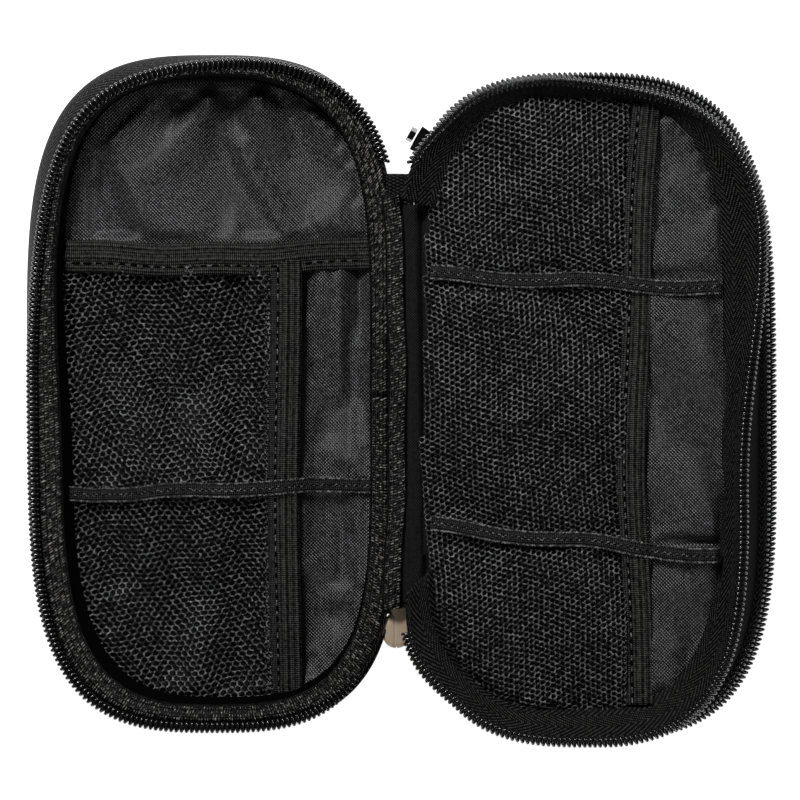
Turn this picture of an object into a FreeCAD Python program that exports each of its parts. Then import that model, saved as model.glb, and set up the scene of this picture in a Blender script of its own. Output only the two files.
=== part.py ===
import FreeCAD, Part
import math
import os
import Sketcher
from FreeCAD import Placement, Rotation, Vector

# Cable organizer pouch, lying open like a book.  Millimetres.
# X runs from the front cover to the main half, Y along the zip's long sides,
# Z up.  The origin is on the table, midway between the two halves.

FRONT = 1
MAIN = -1

doc = FreeCAD.newDocument("cable_organizer_pouch")
sheet = doc.addObject("Spreadsheet::Sheet", "sizes")


class Size:
    """A length in mm that carries its value together with its sheet formula."""

    def __init__(self, value, formula):
        self.value = value
        self.formula = formula

    def __add__(self, other):
        other = as_size(other)
        return Size(self.value + other.value, f"({self.formula} + {other.formula})")

    def __sub__(self, other):
        other = as_size(other)
        return Size(self.value - other.value, f"({self.formula} - {other.formula})")

    def __mul__(self, factor):
        return Size(self.value * factor, f"({factor} * {self.formula})")

    def __neg__(self):
        return self * -1


def as_size(number):
    """Turn a plain number into a Size so the two can be mixed."""
    if isinstance(number, Size):
        return number
    return Size(number, f"({number})")


cell_row = 0


def cell(name, value):
    """Write one driving dimension to the sheet and return it as a Size."""
    global cell_row
    cell_row += 1
    sheet.set(f"A{cell_row}", name)
    sheet.set(f"B{cell_row}", str(value))
    sheet.setAlias(f"B{cell_row}", name)
    return Size(value, f"sizes.{name}")


# Outline of one half, seen from above.
leaf_half_width = cell("leaf_half_width", 54.5)
leaf_half_length = cell("leaf_half_length", 99.5)
leaf_corner = cell("leaf_corner", 46)
leaf_spacing = cell("leaf_spacing", 55)
leaf_stagger = cell("leaf_stagger", 0.8)
hinge_gap = cell("hinge_gap", 4.4)
clearance = cell("clearance", 0.4)

# Shells, foam and lining.
shell_thickness = cell("shell_thickness", 1.4)
shell_height = cell("shell_height", 12)
shell_taper = cell("shell_taper", 7)
lip_thickness = cell("lip_thickness", 1.2)
lip_width = cell("lip_width", 11.5)
foam_thickness = cell("foam_thickness", 2.5)
lining_thickness = cell("lining_thickness", 0.8)

# Panel of pockets inside each half.
panel_shift = cell("panel_shift", 3.4)
panel_half_width = cell("panel_half_width", 43.3)
panel_half_length = cell("panel_half_length", 89.5)
panel_corner = cell("panel_corner", 38)
panel_level = cell("panel_level", 8.6)
panel_thickness = cell("panel_thickness", 0.6)
mesh_thickness = cell("mesh_thickness", 0.9)
elastic_thickness = cell("elastic_thickness", 1.3)
ribbon_width = cell("ribbon_width", 3.2)
ribbon_thickness = cell("ribbon_thickness", 0.7)
pocket_top = cell("pocket_top", 45.1)
pocket_hem = cell("pocket_hem", 5.6)
front_hem_left = cell("front_hem_left", 16.0)
front_hem_right = cell("front_hem_right", 25.6)
divider_hem_left = cell("divider_hem_left", 10.5)
divider_hem_right = cell("divider_hem_right", 18.0)
hem_reach = cell("hem_reach", 84)
front_ribbon_low = cell("front_ribbon_low", -30)
upper_ribbon_low = cell("upper_ribbon_low", 34.4)
lower_ribbon_low = cell("lower_ribbon_low", -41.2)
stack_gap = cell("stack_gap", 0.3)
divider_film = cell("divider_film", 0.6)
divider_inset = cell("divider_inset", 3.7)
board_inset = cell("board_inset", 5)
binding_width = cell("binding_width", 4)
binding_height = cell("binding_height", 1.8)

# Zips.
tape_thickness = cell("tape_thickness", 1.2)
coil_width = cell("coil_width", 2.2)
rear_coil_width = cell("rear_coil_width", 1.8)
rear_coil_height = cell("rear_coil_height", 1.6)
front_rim = cell("front_rim", 23.2)
main_rim = cell("main_rim", 34)
rear_chain_level = cell("rear_chain_level", 17.2)
divider_level = cell("divider_level", 22)
board_thickness = cell("board_thickness", 1.2)
main_rim_inset = cell("main_rim_inset", 2.4)

# Spine.
spine_width = cell("spine_width", 8)
spine_level = cell("spine_level", 25.1)
spine_bottom = cell("spine_bottom", -61)
spine_top = cell("spine_top", 67)
wall_thickness = cell("wall_thickness", 1.2)
zip_gap_half = cell("zip_gap_half", 68)

# Sliders and pulls.
slider_length = cell("slider_length", 10)
slider_width = cell("slider_width", 6.8)
slider_height = cell("slider_height", 4.4)
slider_start = cell("slider_start", -57.6)
slider_base = cell("slider_base", 16.2)
slider_plate = cell("slider_plate", 1.1)
pull_thickness = cell("pull_thickness", 1.8)
main_pull_length = cell("main_pull_length", 15)
main_pull_half_width = cell("main_pull_half_width", 3.4)
rear_pull_length = cell("rear_pull_length", 14)
rear_pull_half_width = cell("rear_pull_half_width", 2.2)

front_hinge = leaf_spacing - hinge_gap
main_hinge = leaf_spacing - hinge_gap - wall_thickness - clearance
# Shares of the slider's width, and where the rear slider stands on its corner, in degrees.
WAIST_SHARE = 0.16
BRIDGE_SHARE = 0.14
REAR_SLIDER_START = 146.0
REAR_SLIDER_SWEEP = 9.0

lip_level = shell_height
tape_foot = shell_height + lip_thickness + 0.3
main_tape_foot = divider_level + 3.4
FAR = 130


def bind(thing, prop, size):
    """Tie one property of a document object to the sheet."""
    thing.setExpression(prop, size.formula)


def new_body(label, side):
    """Start a PartDesign body centred on the front or the main half."""
    body = doc.addObject("PartDesign::Body", label)
    body.Label = label
    body.Placement = Placement(Vector(0, 0, 0), Rotation())
    bind(body, "Placement.Base.x", leaf_spacing * -side)
    bind(body, "Placement.Base.y", leaf_stagger * side)
    return body


def origin_plane(body, role):
    return [f for f in body.Origin.OriginFeatures if f.Role == role][0]


def new_sketch(body, name, level, shift=None):
    """Add a flat sketch at a height above the table."""
    sketch = body.newObject("Sketcher::SketchObject", name)
    sketch.AttachmentSupport = (origin_plane(body, "XY_Plane"), [""])
    sketch.MapMode = "FlatFace"
    bind(sketch, "AttachmentOffset.Base.z", as_size(level))
    if shift is not None:
        bind(sketch, "AttachmentOffset.Base.x", shift)
    return sketch


def join(sketch, first, second, kind):
    """Tie the ends of two curves that meet."""
    for i in (1, 2):
        for j in (1, 2):
            gap = sketch.getPoint(first, i).distanceToPoint(sketch.getPoint(second, j))
            if gap < 1e-6:
                sketch.addConstraint(Sketcher.Constraint(kind, first, i, second, j))


def measure(sketch, name, kind, curve, point, size):
    """Pin a point's X or Y from the sketch origin to a signed size."""
    if size.value < 0:
        index = sketch.addConstraint(Sketcher.Constraint(kind, curve, point, -1, 1, -size.value))
        size = -size
    else:
        index = sketch.addConstraint(Sketcher.Constraint(kind, -1, 1, curve, point, size.value))
    sketch.renameConstraint(index, name)
    bind(sketch, f"Constraints.{name}", size)


def add_line(sketch, start, end):
    return sketch.addGeometry(Part.LineSegment(Vector(*start, 0), Vector(*end, 0)))


def add_arc(sketch, centre, radius, angle_from, angle_to):
    circle = Part.Circle(Vector(*centre, 0), Vector(0, 0, 1), radius)
    return sketch.addGeometry(Part.ArcOfCircle(circle, angle_from, angle_to))


def outline(body, side, level, width, length, corner, hinge, shift=as_size(0)):
    """Draw a rounded rectangle whose hinge side is cut off straight.

    The hinge side lies towards +X for the front cover, -X for the main half.
    """
    name = f"{body.Label}_outline_{len(body.Group)}"
    sketch = new_sketch(body, name, level, shift * side)
    hinge = hinge - shift
    if hinge.value > width.value - 0.1:
        hinge = width - 0.1
    across = width.value - corner.value
    along = length.value - corner.value
    radius = corner.value
    cut_angle = math.acos((hinge.value - across) / radius)
    cut_height = along + radius * math.sin(cut_angle)
    near = (math.pi, 0)[side > 0]

    top = add_line(sketch, (-side * across, length.value), (side * across, length.value))
    far = add_line(sketch, (-side * width.value, -along), (-side * width.value, along))
    bottom = add_line(sketch, (-side * across, -length.value), (side * across, -length.value))
    cut = add_line(sketch, (side * hinge.value, -cut_height), (side * hinge.value, cut_height))
    corners = []
    for end_x in (-side, side):
        for end_y in (1, -1):
            upright = end_y * math.pi / 2
            if end_x == side:
                level_angle = near + (end_y * side) * cut_angle
            else:
                level_angle = math.pi - near
            turn = math.remainder(level_angle - upright, 2 * math.pi)
            first, last = sorted((upright, upright + turn))
            centre = (end_x * across, end_y * along)
            corners.append(add_arc(sketch, centre, radius, first, last))
    far_top, far_bottom, near_top, near_bottom = corners
    for line, arc in ((top, far_top), (top, near_top), (far, far_top),
                      (far, far_bottom), (bottom, far_bottom), (bottom, near_bottom)):
        join(sketch, line, arc, "Tangent")
    join(sketch, cut, near_top, "Coincident")
    join(sketch, cut, near_bottom, "Coincident")
    for line in (top, bottom):
        sketch.addConstraint(Sketcher.Constraint("Symmetric", line, 1, line, 2, -2))
    sketch.addConstraint(Sketcher.Constraint("Symmetric", far, 1, far, 2, -1))
    sketch.addConstraint(Sketcher.Constraint("Vertical", cut))
    for arc in corners[1:]:
        sketch.addConstraint(Sketcher.Constraint("Equal", far_top, arc))
    index = sketch.addConstraint(Sketcher.Constraint("Radius", far_top, radius))
    sketch.renameConstraint(index, "corner")
    bind(sketch, "Constraints.corner", corner)
    measure(sketch, "far_side", "DistanceX", far, 1, width * -side)
    measure(sketch, "hinge_side", "DistanceX", cut, 1, hinge * side)
    measure(sketch, "top_side", "DistanceY", top, 1, length)
    return sketch


def leaf_outline(body, side, level, inset, hinge):
    """Draw the outline of a half, drawn in by an inset all round."""
    inset = as_size(inset)
    return outline(body, side, level, leaf_half_width - inset, leaf_half_length - inset,
                   leaf_corner - inset, hinge)


def panel_outline(body, side, level, margin, hinge=None):
    """Draw the outline of the pocket panel, let out by a margin all round."""
    margin = as_size(margin)
    width = panel_half_width + margin
    if hinge is None:
        hinge = width + panel_shift - 0.1
    return outline(body, side, level, width, panel_half_length + margin,
                   panel_corner + margin, hinge, panel_shift)


def rectangle(body, level, left, right, low, high):
    """Draw a rectangle from its four signed sides."""
    sketch = new_sketch(body, f"{body.Label}_rectangle_{len(body.Group)}", level)
    x1, x2, y1, y2 = left.value, right.value, low.value, high.value
    sides = [add_line(sketch, (x1, y1), (x2, y1)), add_line(sketch, (x2, y1), (x2, y2)),
             add_line(sketch, (x2, y2), (x1, y2)), add_line(sketch, (x1, y2), (x1, y1))]
    for first, second in zip(sides, sides[1:] + sides[:1]):
        join(sketch, first, second, "Coincident")
    for line, kind in zip(sides, ("Horizontal", "Vertical", "Horizontal", "Vertical")):
        sketch.addConstraint(Sketcher.Constraint(kind, line))
    measure(sketch, "left_side", "DistanceX", sides[0], 1, left)
    measure(sketch, "right_side", "DistanceX", sides[0], 2, right)
    measure(sketch, "low_side", "DistanceY", sides[0], 1, low)
    measure(sketch, "high_side", "DistanceY", sides[2], 1, high)
    return sketch


def pad(body, sketch, height):
    feature = body.newObject("PartDesign::Pad", f"{body.Label}_pad_{len(body.Group)}")
    feature.Profile = sketch
    bind(feature, "Length", as_size(height))
    return feature


def pocket(body, sketch, depth=FAR):
    """Cut upward from a sketch."""
    feature = body.newObject("PartDesign::Pocket", f"{body.Label}_pocket_{len(body.Group)}")
    feature.Profile = sketch
    feature.Reversed = True
    bind(feature, "Length", as_size(depth))
    return feature


def loft(body, kind, low, high):
    feature = body.newObject(f"PartDesign::{kind}Loft", f"{body.Label}_loft_{len(body.Group)}")
    feature.Profile = low
    feature.Sections = [(high, [""])]
    return feature


def trim_beyond(body, axis, limit, direction):
    """Cut away everything past a line across the body."""
    beyond = as_size(direction * FAR)
    span = sorted((limit, beyond), key=lambda size: size.value)
    whole = (as_size(-FAR), as_size(FAR))
    sides = (*span, *whole) if axis == "x" else (*whole, *span)
    pocket(body, rectangle(body, 0, *sides))


def open_hinge(body, side, hinge):
    """Cut a zip ring square at the hinge and open where it meets the spine."""
    trim_beyond(body, "x", hinge * side, side)
    left, right = sorted((side * 32, side * FAR))
    pocket(body, rectangle(body, 0, as_size(left), as_size(right), -zip_gap_half, zip_gap_half))


def strip(label, left, right, low, high, base, thickness):
    """A straight flat strip of webbing or cloth, from its sides."""
    box = doc.addObject("Part::Box", label)
    box.Label = label
    bind(box, "Length", right - left)
    bind(box, "Width", high - low)
    bind(box, "Height", as_size(thickness))
    box.Placement = Placement(Vector(0, 0, 0), Rotation())
    bind(box, "Placement.Base.x", left)
    bind(box, "Placement.Base.y", low)
    bind(box, "Placement.Base.z", as_size(base))
    return box


def moulded_shell(label, side, hinge):
    """Tapered outer shell with its top edge turned in as a lip."""
    body = new_body(label, side)
    wall = shell_thickness
    loft(body, "Additive", leaf_outline(body, side, 0, shell_taper, hinge),
         leaf_outline(body, side, shell_height, 0, hinge))
    loft(body, "Subtractive", leaf_outline(body, side, wall, shell_taper + 1.2, hinge - wall),
         leaf_outline(body, side, shell_height, wall, hinge - wall))
    pad(body, leaf_outline(body, side, lip_level, 0, hinge), lip_thickness)
    opening = leaf_half_width - lip_width - 0.1
    pocket(body, leaf_outline(body, side, lip_level, lip_width, opening), lip_thickness)
    return body


def foam_pad(label, side, hinge):
    body = new_body(label, side)
    sketch = leaf_outline(body, side, shell_thickness + 0.3, shell_taper + 2, hinge - 8.6)
    pad(body, sketch, foam_thickness)
    return body


def lining_tray(label, side, hinge):
    """Thin lining that covers the foam and climbs the shell wall."""
    body = new_body(label, side)
    floor = shell_thickness + foam_thickness + 0.6
    rim = shell_height - 0.4
    edge = hinge - shell_thickness - 0.4
    cloth = lining_thickness
    floor_edge = edge - 2.2
    loft(body, "Additive", leaf_outline(body, side, floor, shell_taper, floor_edge),
         leaf_outline(body, side, rim, 2.6, edge))
    loft(body, "Subtractive",
         leaf_outline(body, side, floor + cloth, shell_taper + cloth, floor_edge - cloth),
         leaf_outline(body, side, rim, cloth + 2.6, edge - cloth))
    return body


def flat_layer(label, side, inset, hinge, base, thickness):
    body = new_body(label, side)
    pad(body, leaf_outline(body, side, base, inset, hinge), thickness)
    return body


def pocket_panel(label, side, base, thickness):
    """A sheet the size of the pocket panel."""
    body = new_body(label, side)
    pad(body, panel_outline(body, side, base, 0), thickness)
    return body


def flat_ring(label, side, base, height, outer_inset, inner_inset, hinge):
    """A level C-shaped ring that follows the outline of a half."""
    body = new_body(label, side)
    pad(body, leaf_outline(body, side, base, outer_inset, hinge), height)
    past_hinge = leaf_half_width - inner_inset - 0.1
    pocket(body, leaf_outline(body, side, base, inner_inset, past_hinge))
    open_hinge(body, side, hinge)
    return body


def sloped_ring(label, side, low, high, hinge):
    """A leaning C-shaped band between a low and a high outline.

    Each is (level, inset); its inner face lies one tape thickness further in.
    """
    body = new_body(label, side)
    cloth = tape_thickness
    loft(body, "Additive", leaf_outline(body, side, low[0], low[1], hinge),
         leaf_outline(body, side, high[0], high[1], hinge))
    inner = []
    for level, inset in (low, high):
        past_hinge = leaf_half_width - cloth - inset - 0.1
        inner.append(leaf_outline(body, side, level, cloth + inset, past_hinge))
    loft(body, "Subtractive", *inner)
    open_hinge(body, side, hinge)
    return body


def main_tape(label, side, foot, margin, head, inset, hinge):
    """Zip tape that leans out from the pocket panel to the coil."""
    body = new_body(label, side)
    cloth = tape_thickness
    low_hinge = panel_half_width + panel_shift + margin + cloth - 0.1
    if low_hinge.value > hinge.value:
        low_hinge = hinge
    loft(body, "Additive", panel_outline(body, side, foot, cloth + margin, low_hinge),
         leaf_outline(body, side, head, inset, hinge))
    loft(body, "Subtractive", panel_outline(body, side, foot, margin),
         leaf_outline(body, side, head, cloth + inset, leaf_half_width - cloth - inset - 0.1))
    open_hinge(body, side, hinge)
    return body


def seam_binding(label, side, base, margin, width, hinge):
    """Woven binding that runs all round the pocket panel."""
    body = new_body(label, side)
    reach = panel_half_width + panel_shift + margin + width
    edge = hinge if reach.value > hinge.value else reach - 0.1
    pad(body, panel_outline(body, side, base, width + margin, edge), binding_height)
    pocket(body, panel_outline(body, side, base, margin))
    return body


def zip_pull(label, length, half_width, spot):
    """Flat drop-shaped pull: a neck that widens to a rounded tip."""
    body = doc.addObject("PartDesign::Body", label)
    body.Label = label
    body.Placement = spot
    sketch = new_sketch(body, f"{label}_profile", 0)
    neck = half_width.value * 0.55
    tip = half_width.value
    tip_centre = tip - length.value
    lines = [add_line(sketch, (-neck, 0), (neck, 0)),
             add_line(sketch, (neck, 0), (tip, tip_centre)),
             add_line(sketch, (-tip, tip_centre), (-neck, 0))]
    arc = add_arc(sketch, (0, tip_centre), tip, math.pi, 2 * math.pi)
    join(sketch, lines[0], lines[1], "Coincident")
    join(sketch, lines[0], lines[2], "Coincident")
    join(sketch, lines[1], arc, "Coincident")
    join(sketch, lines[2], arc, "Coincident")
    measure(sketch, "neck_left", "DistanceX", lines[0], 1, half_width * -0.55)
    measure(sketch, "neck_right", "DistanceX", lines[0], 2, half_width * 0.55)
    measure(sketch, "neck_top", "DistanceY", lines[0], 1, as_size(0))
    sketch.addConstraint(Sketcher.Constraint("Horizontal", lines[0]))
    measure(sketch, "tip_left", "DistanceX", lines[2], 1, -half_width)
    measure(sketch, "tip_end_y", "DistanceY", lines[1], 2, half_width - length)
    measure(sketch, "tip_centre_x", "DistanceX", arc, 3, as_size(0))
    measure(sketch, "tip_centre_y", "DistanceY", arc, 3, half_width - length)
    measure(sketch, "tip_start_y", "DistanceY", lines[2], 1, half_width - length)
    pad(body, sketch, pull_thickness)
    return body


def main_zip_slider():
    """Slider: two plates joined by a waist, with a bridge on top."""
    body = doc.addObject("PartDesign::Body", "main_slider")
    body.Label = "main_slider"
    body.Placement = Placement(Vector(0, 0, 0), Rotation())
    bind(body, "Placement.Base.y", slider_start)
    bind(body, "Placement.Base.z", slider_base)
    half = slider_width * 0.5
    waist = slider_width * WAIST_SHARE
    zero = as_size(0)
    pad(body, rectangle(body, 0, -half, half, zero, slider_length), slider_plate)
    waist_base = slider_plate - 0.1
    gap = slider_height - slider_plate * 2 + 0.2
    pad(body, rectangle(body, waist_base, -waist, waist, slider_length * 0.2,
                        slider_length * 0.8), gap)
    top = slider_height - slider_plate
    pad(body, rectangle(body, top, -half, half, zero, slider_length), slider_plate)
    bridge = slider_width * BRIDGE_SHARE
    pad(body, rectangle(body, slider_height - 0.1, -bridge, bridge, slider_length * 0.15,
                        slider_length * 0.85), 1.2)
    return body


def corner_centre():
    """Centre of the main half's corner arc at the top of the hinge side."""
    x = leaf_spacing - leaf_half_width + leaf_corner
    y = leaf_half_length - leaf_corner - leaf_stagger
    return x, y


def rear_zip_slider(start_angle, sweep):
    """Slider that rides on the outside of the rear chain round the corner."""
    body = doc.addObject("PartDesign::Body", "rear_slider")
    body.Label = "rear_slider"
    body.Placement = Placement(Vector(0, 0, 0), Rotation(Vector(0, 0, 1), start_angle))
    x, y = corner_centre()
    bind(body, "Placement.Base.x", x)
    bind(body, "Placement.Base.y", y)
    sketch = body.newObject("Sketcher::SketchObject", "rear_slider_profile")
    sketch.AttachmentSupport = (origin_plane(body, "XZ_Plane"), [""])
    sketch.MapMode = "FlatFace"
    step_in = leaf_corner - 0.8
    plate_in = leaf_corner + 0.8
    plate_out = leaf_corner + 2.2
    low = rear_chain_level - 0.6
    step = rear_chain_level + 2.0
    high = rear_chain_level + 3.8
    points = [(plate_in, low), (plate_out, low), (plate_out, high),
              (step_in, high), (step_in, step), (plate_in, step)]
    lines = []
    for (x1, z1), (x2, z2) in zip(points, points[1:] + points[:1]):
        lines.append(add_line(sketch, (x1.value, z1.value), (x2.value, z2.value)))
    for first, second in zip(lines, lines[1:] + lines[:1]):
        join(sketch, first, second, "Coincident")
    for index, (line, (x1, z1)) in enumerate(zip(lines, points)):
        measure(sketch, f"radius_{index}", "DistanceX", line, 1, x1)
        measure(sketch, f"height_{index}", "DistanceY", line, 1, z1)
    turn = body.newObject("PartDesign::Revolution", "rear_slider_turn")
    turn.Profile = sketch
    turn.ReferenceAxis = (sketch, ["V_Axis"])
    turn.Angle = sweep
    return body


def front_cover():
    """Front half: shell, padding, lining, pockets and its side of the zip."""
    side, hinge = FRONT, front_hinge
    nodes = [moulded_shell("front_shell", side, hinge),
             foam_pad("front_foam", side, hinge),
             lining_tray("front_lining", side, hinge),
             seam_binding("front_seam_binding", side, tape_foot, 0.3, binding_width,
                          hinge - 0.4)]
    tape_head = front_rim - coil_width - 0.2
    nodes.append(main_tape("front_zip_tape", side, tape_foot, binding_width + 0.6,
                           tape_head, 0.7, hinge))
    nodes.append(flat_ring("front_zip_coil", side, front_rim - coil_width, coil_width,
                           -0.2, coil_width - 0.2, hinge))

    nodes.append(pocket_panel("front_slip_pocket", side, panel_level, panel_thickness))
    trim_beyond(nodes[-1], "y", pocket_top, 1)
    above = panel_level + 1
    nodes.append(pocket_panel("front_mesh_pocket", side, above, mesh_thickness))
    trim_beyond(nodes[-1], "y", pocket_top - pocket_hem - clearance, 1)
    trim_beyond(nodes[-1], "x", front_hem_left - clearance, 1)

    centre_x, centre_y = -leaf_spacing, leaf_stagger
    left = centre_x + panel_shift - panel_half_width + clearance
    right = centre_x + panel_shift + panel_half_width - clearance
    top = centre_y + pocket_top
    nodes.append(strip("front_pocket_elastic", left, right, top - pocket_hem, top, above,
                       elastic_thickness))
    nodes.append(strip("front_mesh_elastic", centre_x + front_hem_left,
                       centre_x + front_hem_right, centre_y - hem_reach,
                       top - pocket_hem - clearance, above, elastic_thickness))
    ribbon_base = above + elastic_thickness + stack_gap
    ribbon_low = centre_y + front_ribbon_low
    nodes.append(strip("front_divider_ribbon", left, right, ribbon_low,
                       ribbon_low + ribbon_width, ribbon_base, ribbon_thickness))
    return nodes


def main_half():
    """Main half: hinge wall, gusset, divider with pockets, two zip sides."""
    side, hinge = MAIN, main_hinge
    centre_x, centre_y = leaf_spacing, -leaf_stagger
    wall_left = hinge_gap + 0.1
    nodes = [strip("hinge_wall", wall_left, wall_left + wall_thickness, spine_bottom - 4,
                   spine_top, 0.8, spine_level - 0.9)]
    upper_coil = rear_chain_level + rear_coil_height + 0.3
    upper_tape = upper_coil + rear_coil_height + 0.2
    nodes.append(flat_ring("rear_zip_coil_upper", side, upper_coil, rear_coil_height,
                           1.2, rear_coil_width + 1.2, hinge))
    nodes.append(flat_ring("rear_zip_tape_upper", side, upper_tape, 0.8, 1.4, as_size(7.5),
                           hinge))
    level = divider_level
    nodes.append(flat_layer("divider_back_lining", side, divider_inset, hinge, level,
                            divider_film))
    board_level = level + 0.9
    nodes.append(flat_layer("divider_board", side, board_inset, hinge - 1.5, board_level,
                            board_thickness))
    nodes.append(flat_layer("divider_lining", side, divider_inset, hinge, board_level + 1.5,
                            divider_film))
    gusset_head = main_rim - coil_width - 0.4
    nodes.append(sloped_ring("main_gusset", side, (level, 1.4),
                             (gusset_head, main_rim_inset + 0.6), hinge))
    nodes.append(main_tape("main_zip_tape", side, main_tape_foot, 0.3,
                           gusset_head + 0.2, main_rim_inset + 2.4, hinge))
    nodes.append(flat_ring("main_zip_coil", side, main_rim - coil_width, coil_width,
                           main_rim_inset, main_rim_inset + coil_width, hinge))

    panel = main_tape_foot
    nodes.append(pocket_panel("divider_slip_panel", side, panel, panel_thickness))
    above = panel + panel_thickness + stack_gap
    nodes.append(pocket_panel("divider_mesh_pocket", side, above, mesh_thickness))
    trim_beyond(nodes[-1], "x", divider_hem_left - clearance, 1)
    nodes.append(strip("divider_mesh_elastic", centre_x + divider_hem_left,
                       centre_x + divider_hem_right, centre_y - hem_reach,
                       centre_y + hem_reach, above, elastic_thickness))
    left = centre_x - panel_shift - panel_half_width + clearance
    right = centre_x - panel_shift + panel_half_width - clearance
    ribbon_base = above + elastic_thickness + stack_gap
    for label, low in (("divider_ribbon_upper", upper_ribbon_low),
                       ("divider_ribbon_lower", lower_ribbon_low)):
        nodes.append(strip(label, left, right, centre_y + low,
                           centre_y + low + ribbon_width, ribbon_base, ribbon_thickness))
    lining_left = wall_left + wall_thickness + 0.3
    nodes.append(strip("hinge_lining", lining_left, left - 0.7, spine_bottom - 1,
                       spine_top - 4, panel, lining_thickness))
    return nodes


def rear_cover():
    """Rear cover: shell, padding, lining and the lower side of the rear zip."""
    side, hinge = MAIN, main_hinge
    nodes = [moulded_shell("rear_shell", side, hinge),
             foam_pad("rear_foam", side, hinge),
             lining_tray("rear_lining", side, hinge)]
    nodes.append(sloped_ring("rear_zip_tape_lower", side, (tape_foot, 3.4),
                             (rear_chain_level - 0.2, 0.2), hinge))
    nodes.append(flat_ring("rear_zip_coil_lower", side, rear_chain_level, rear_coil_height,
                           -0.4, rear_coil_width - 0.4, hinge))
    nodes.append(seam_binding("rear_seam_binding", side, tape_foot, -1.5, binding_width,
                              hinge - 0.4))
    return nodes


def spine():
    """Narrow strip between the two halves: outer cloth, lining and binding."""
    half = spine_width * 0.5
    outer = spine_level - 2
    inner = spine_level - 1
    return [strip("spine_outer", -half, half, spine_bottom, spine_top, outer, 0.9),
            strip("spine_lining", -half, half, spine_bottom, spine_top, inner, 0.9),
            strip("spine_binding", -half + 0.4, -half + 5.4, spine_bottom + 1,
                  spine_top - 1, spine_level, 0.9)]


def sliders_and_pulls():
    """The two zip sliders, each with its pull."""
    pull_base = slider_base + slider_height * 0.45
    hanging = Placement(Vector(0, 0, 0), Rotation())
    main_pull = zip_pull("main_pull", main_pull_length, main_pull_half_width, hanging)
    bind(main_pull, "Placement.Base.x", as_size(-0.5))
    bind(main_pull, "Placement.Base.y", slider_start - 0.4)
    bind(main_pull, "Placement.Base.z", pull_base)

    slider = rear_zip_slider(REAR_SLIDER_START, REAR_SLIDER_SWEEP)
    middle = math.radians(REAR_SLIDER_START + REAR_SLIDER_SWEEP / 2)
    x, y = corner_centre()
    reach = leaf_corner + 2.6
    turn = Rotation(Vector(0, 0, 1), math.degrees(middle) - 90)
    stand = Rotation(Vector(1, 0, 0), 90)
    spot = Placement(Vector(0, 0, 0), turn * stand)
    rear_pull = zip_pull("rear_pull", rear_pull_length, rear_pull_half_width, spot)
    bind(rear_pull, "Placement.Base.x", x + (reach + pull_thickness) * math.cos(middle))
    bind(rear_pull, "Placement.Base.y", y + (reach + pull_thickness) * math.sin(middle))
    bind(rear_pull, "Placement.Base.z", rear_chain_level + 2)
    return [main_zip_slider(), main_pull, slider, rear_pull]


nodes = front_cover() + main_half() + rear_cover() + spine() + sliders_and_pulls()
doc.recompute()

for item in doc.Objects:
    if "Invalid" in item.State or "Error" in item.State:
        raise RuntimeError(f"{item.Name} did not recompute: {item.State}")

os.makedirs("parts", exist_ok=True)
for node in nodes:
    shape = node.Shape
    if shape.isNull() or not shape.isValid():
        raise RuntimeError(f"{node.Label} has no valid shape")
    shape.exportStep(f"parts/{node.Label}.step")
    box = shape.BoundBox
    print(f"{node.Label:24s} solids {len(shape.Solids)} volume {shape.Volume:9.1f}"
          f"  x {box.XMin:7.1f} {box.XMax:7.1f}  y {box.YMin:7.1f} {box.YMax:7.1f}"
          f"  z {box.ZMin:6.1f} {box.ZMax:6.1f}")
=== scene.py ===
import math
import bpy
import numpy as np
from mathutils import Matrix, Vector


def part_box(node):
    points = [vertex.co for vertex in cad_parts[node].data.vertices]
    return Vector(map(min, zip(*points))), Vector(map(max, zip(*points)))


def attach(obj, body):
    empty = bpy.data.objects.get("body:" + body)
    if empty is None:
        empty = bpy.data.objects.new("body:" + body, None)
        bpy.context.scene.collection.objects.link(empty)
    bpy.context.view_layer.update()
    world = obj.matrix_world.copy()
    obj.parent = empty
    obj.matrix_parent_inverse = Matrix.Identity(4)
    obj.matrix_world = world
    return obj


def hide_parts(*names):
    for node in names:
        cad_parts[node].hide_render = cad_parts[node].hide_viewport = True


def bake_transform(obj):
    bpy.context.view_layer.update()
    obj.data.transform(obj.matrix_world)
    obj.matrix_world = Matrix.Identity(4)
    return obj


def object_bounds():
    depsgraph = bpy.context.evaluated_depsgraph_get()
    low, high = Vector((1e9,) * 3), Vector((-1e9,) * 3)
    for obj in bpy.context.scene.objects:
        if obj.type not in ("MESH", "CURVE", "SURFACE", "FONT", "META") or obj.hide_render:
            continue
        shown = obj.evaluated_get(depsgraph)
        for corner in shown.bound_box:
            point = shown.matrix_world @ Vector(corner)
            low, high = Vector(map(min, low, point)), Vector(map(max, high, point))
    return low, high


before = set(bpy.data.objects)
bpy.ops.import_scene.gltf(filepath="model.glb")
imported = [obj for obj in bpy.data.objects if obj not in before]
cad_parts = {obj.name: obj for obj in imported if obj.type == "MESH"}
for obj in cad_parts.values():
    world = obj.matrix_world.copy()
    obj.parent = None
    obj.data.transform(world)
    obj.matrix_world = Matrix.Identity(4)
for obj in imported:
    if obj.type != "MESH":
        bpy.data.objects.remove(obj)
cad_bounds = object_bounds()

# The scene is worked out in millimetres; MM turns it into metres where meshes are made.
MM = 0.001


def middle_of(low, high, axis):
    """Middle of a box along one axis."""
    return (low[axis] + high[axis]) / 2


def node_box(name):
    """Low and high corner of a CAD node, in millimetres."""
    low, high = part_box(name)
    return np.array(low) / MM, np.array(high) / MM


# ---------------------------------------------------------------- sizes from the frame

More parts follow.
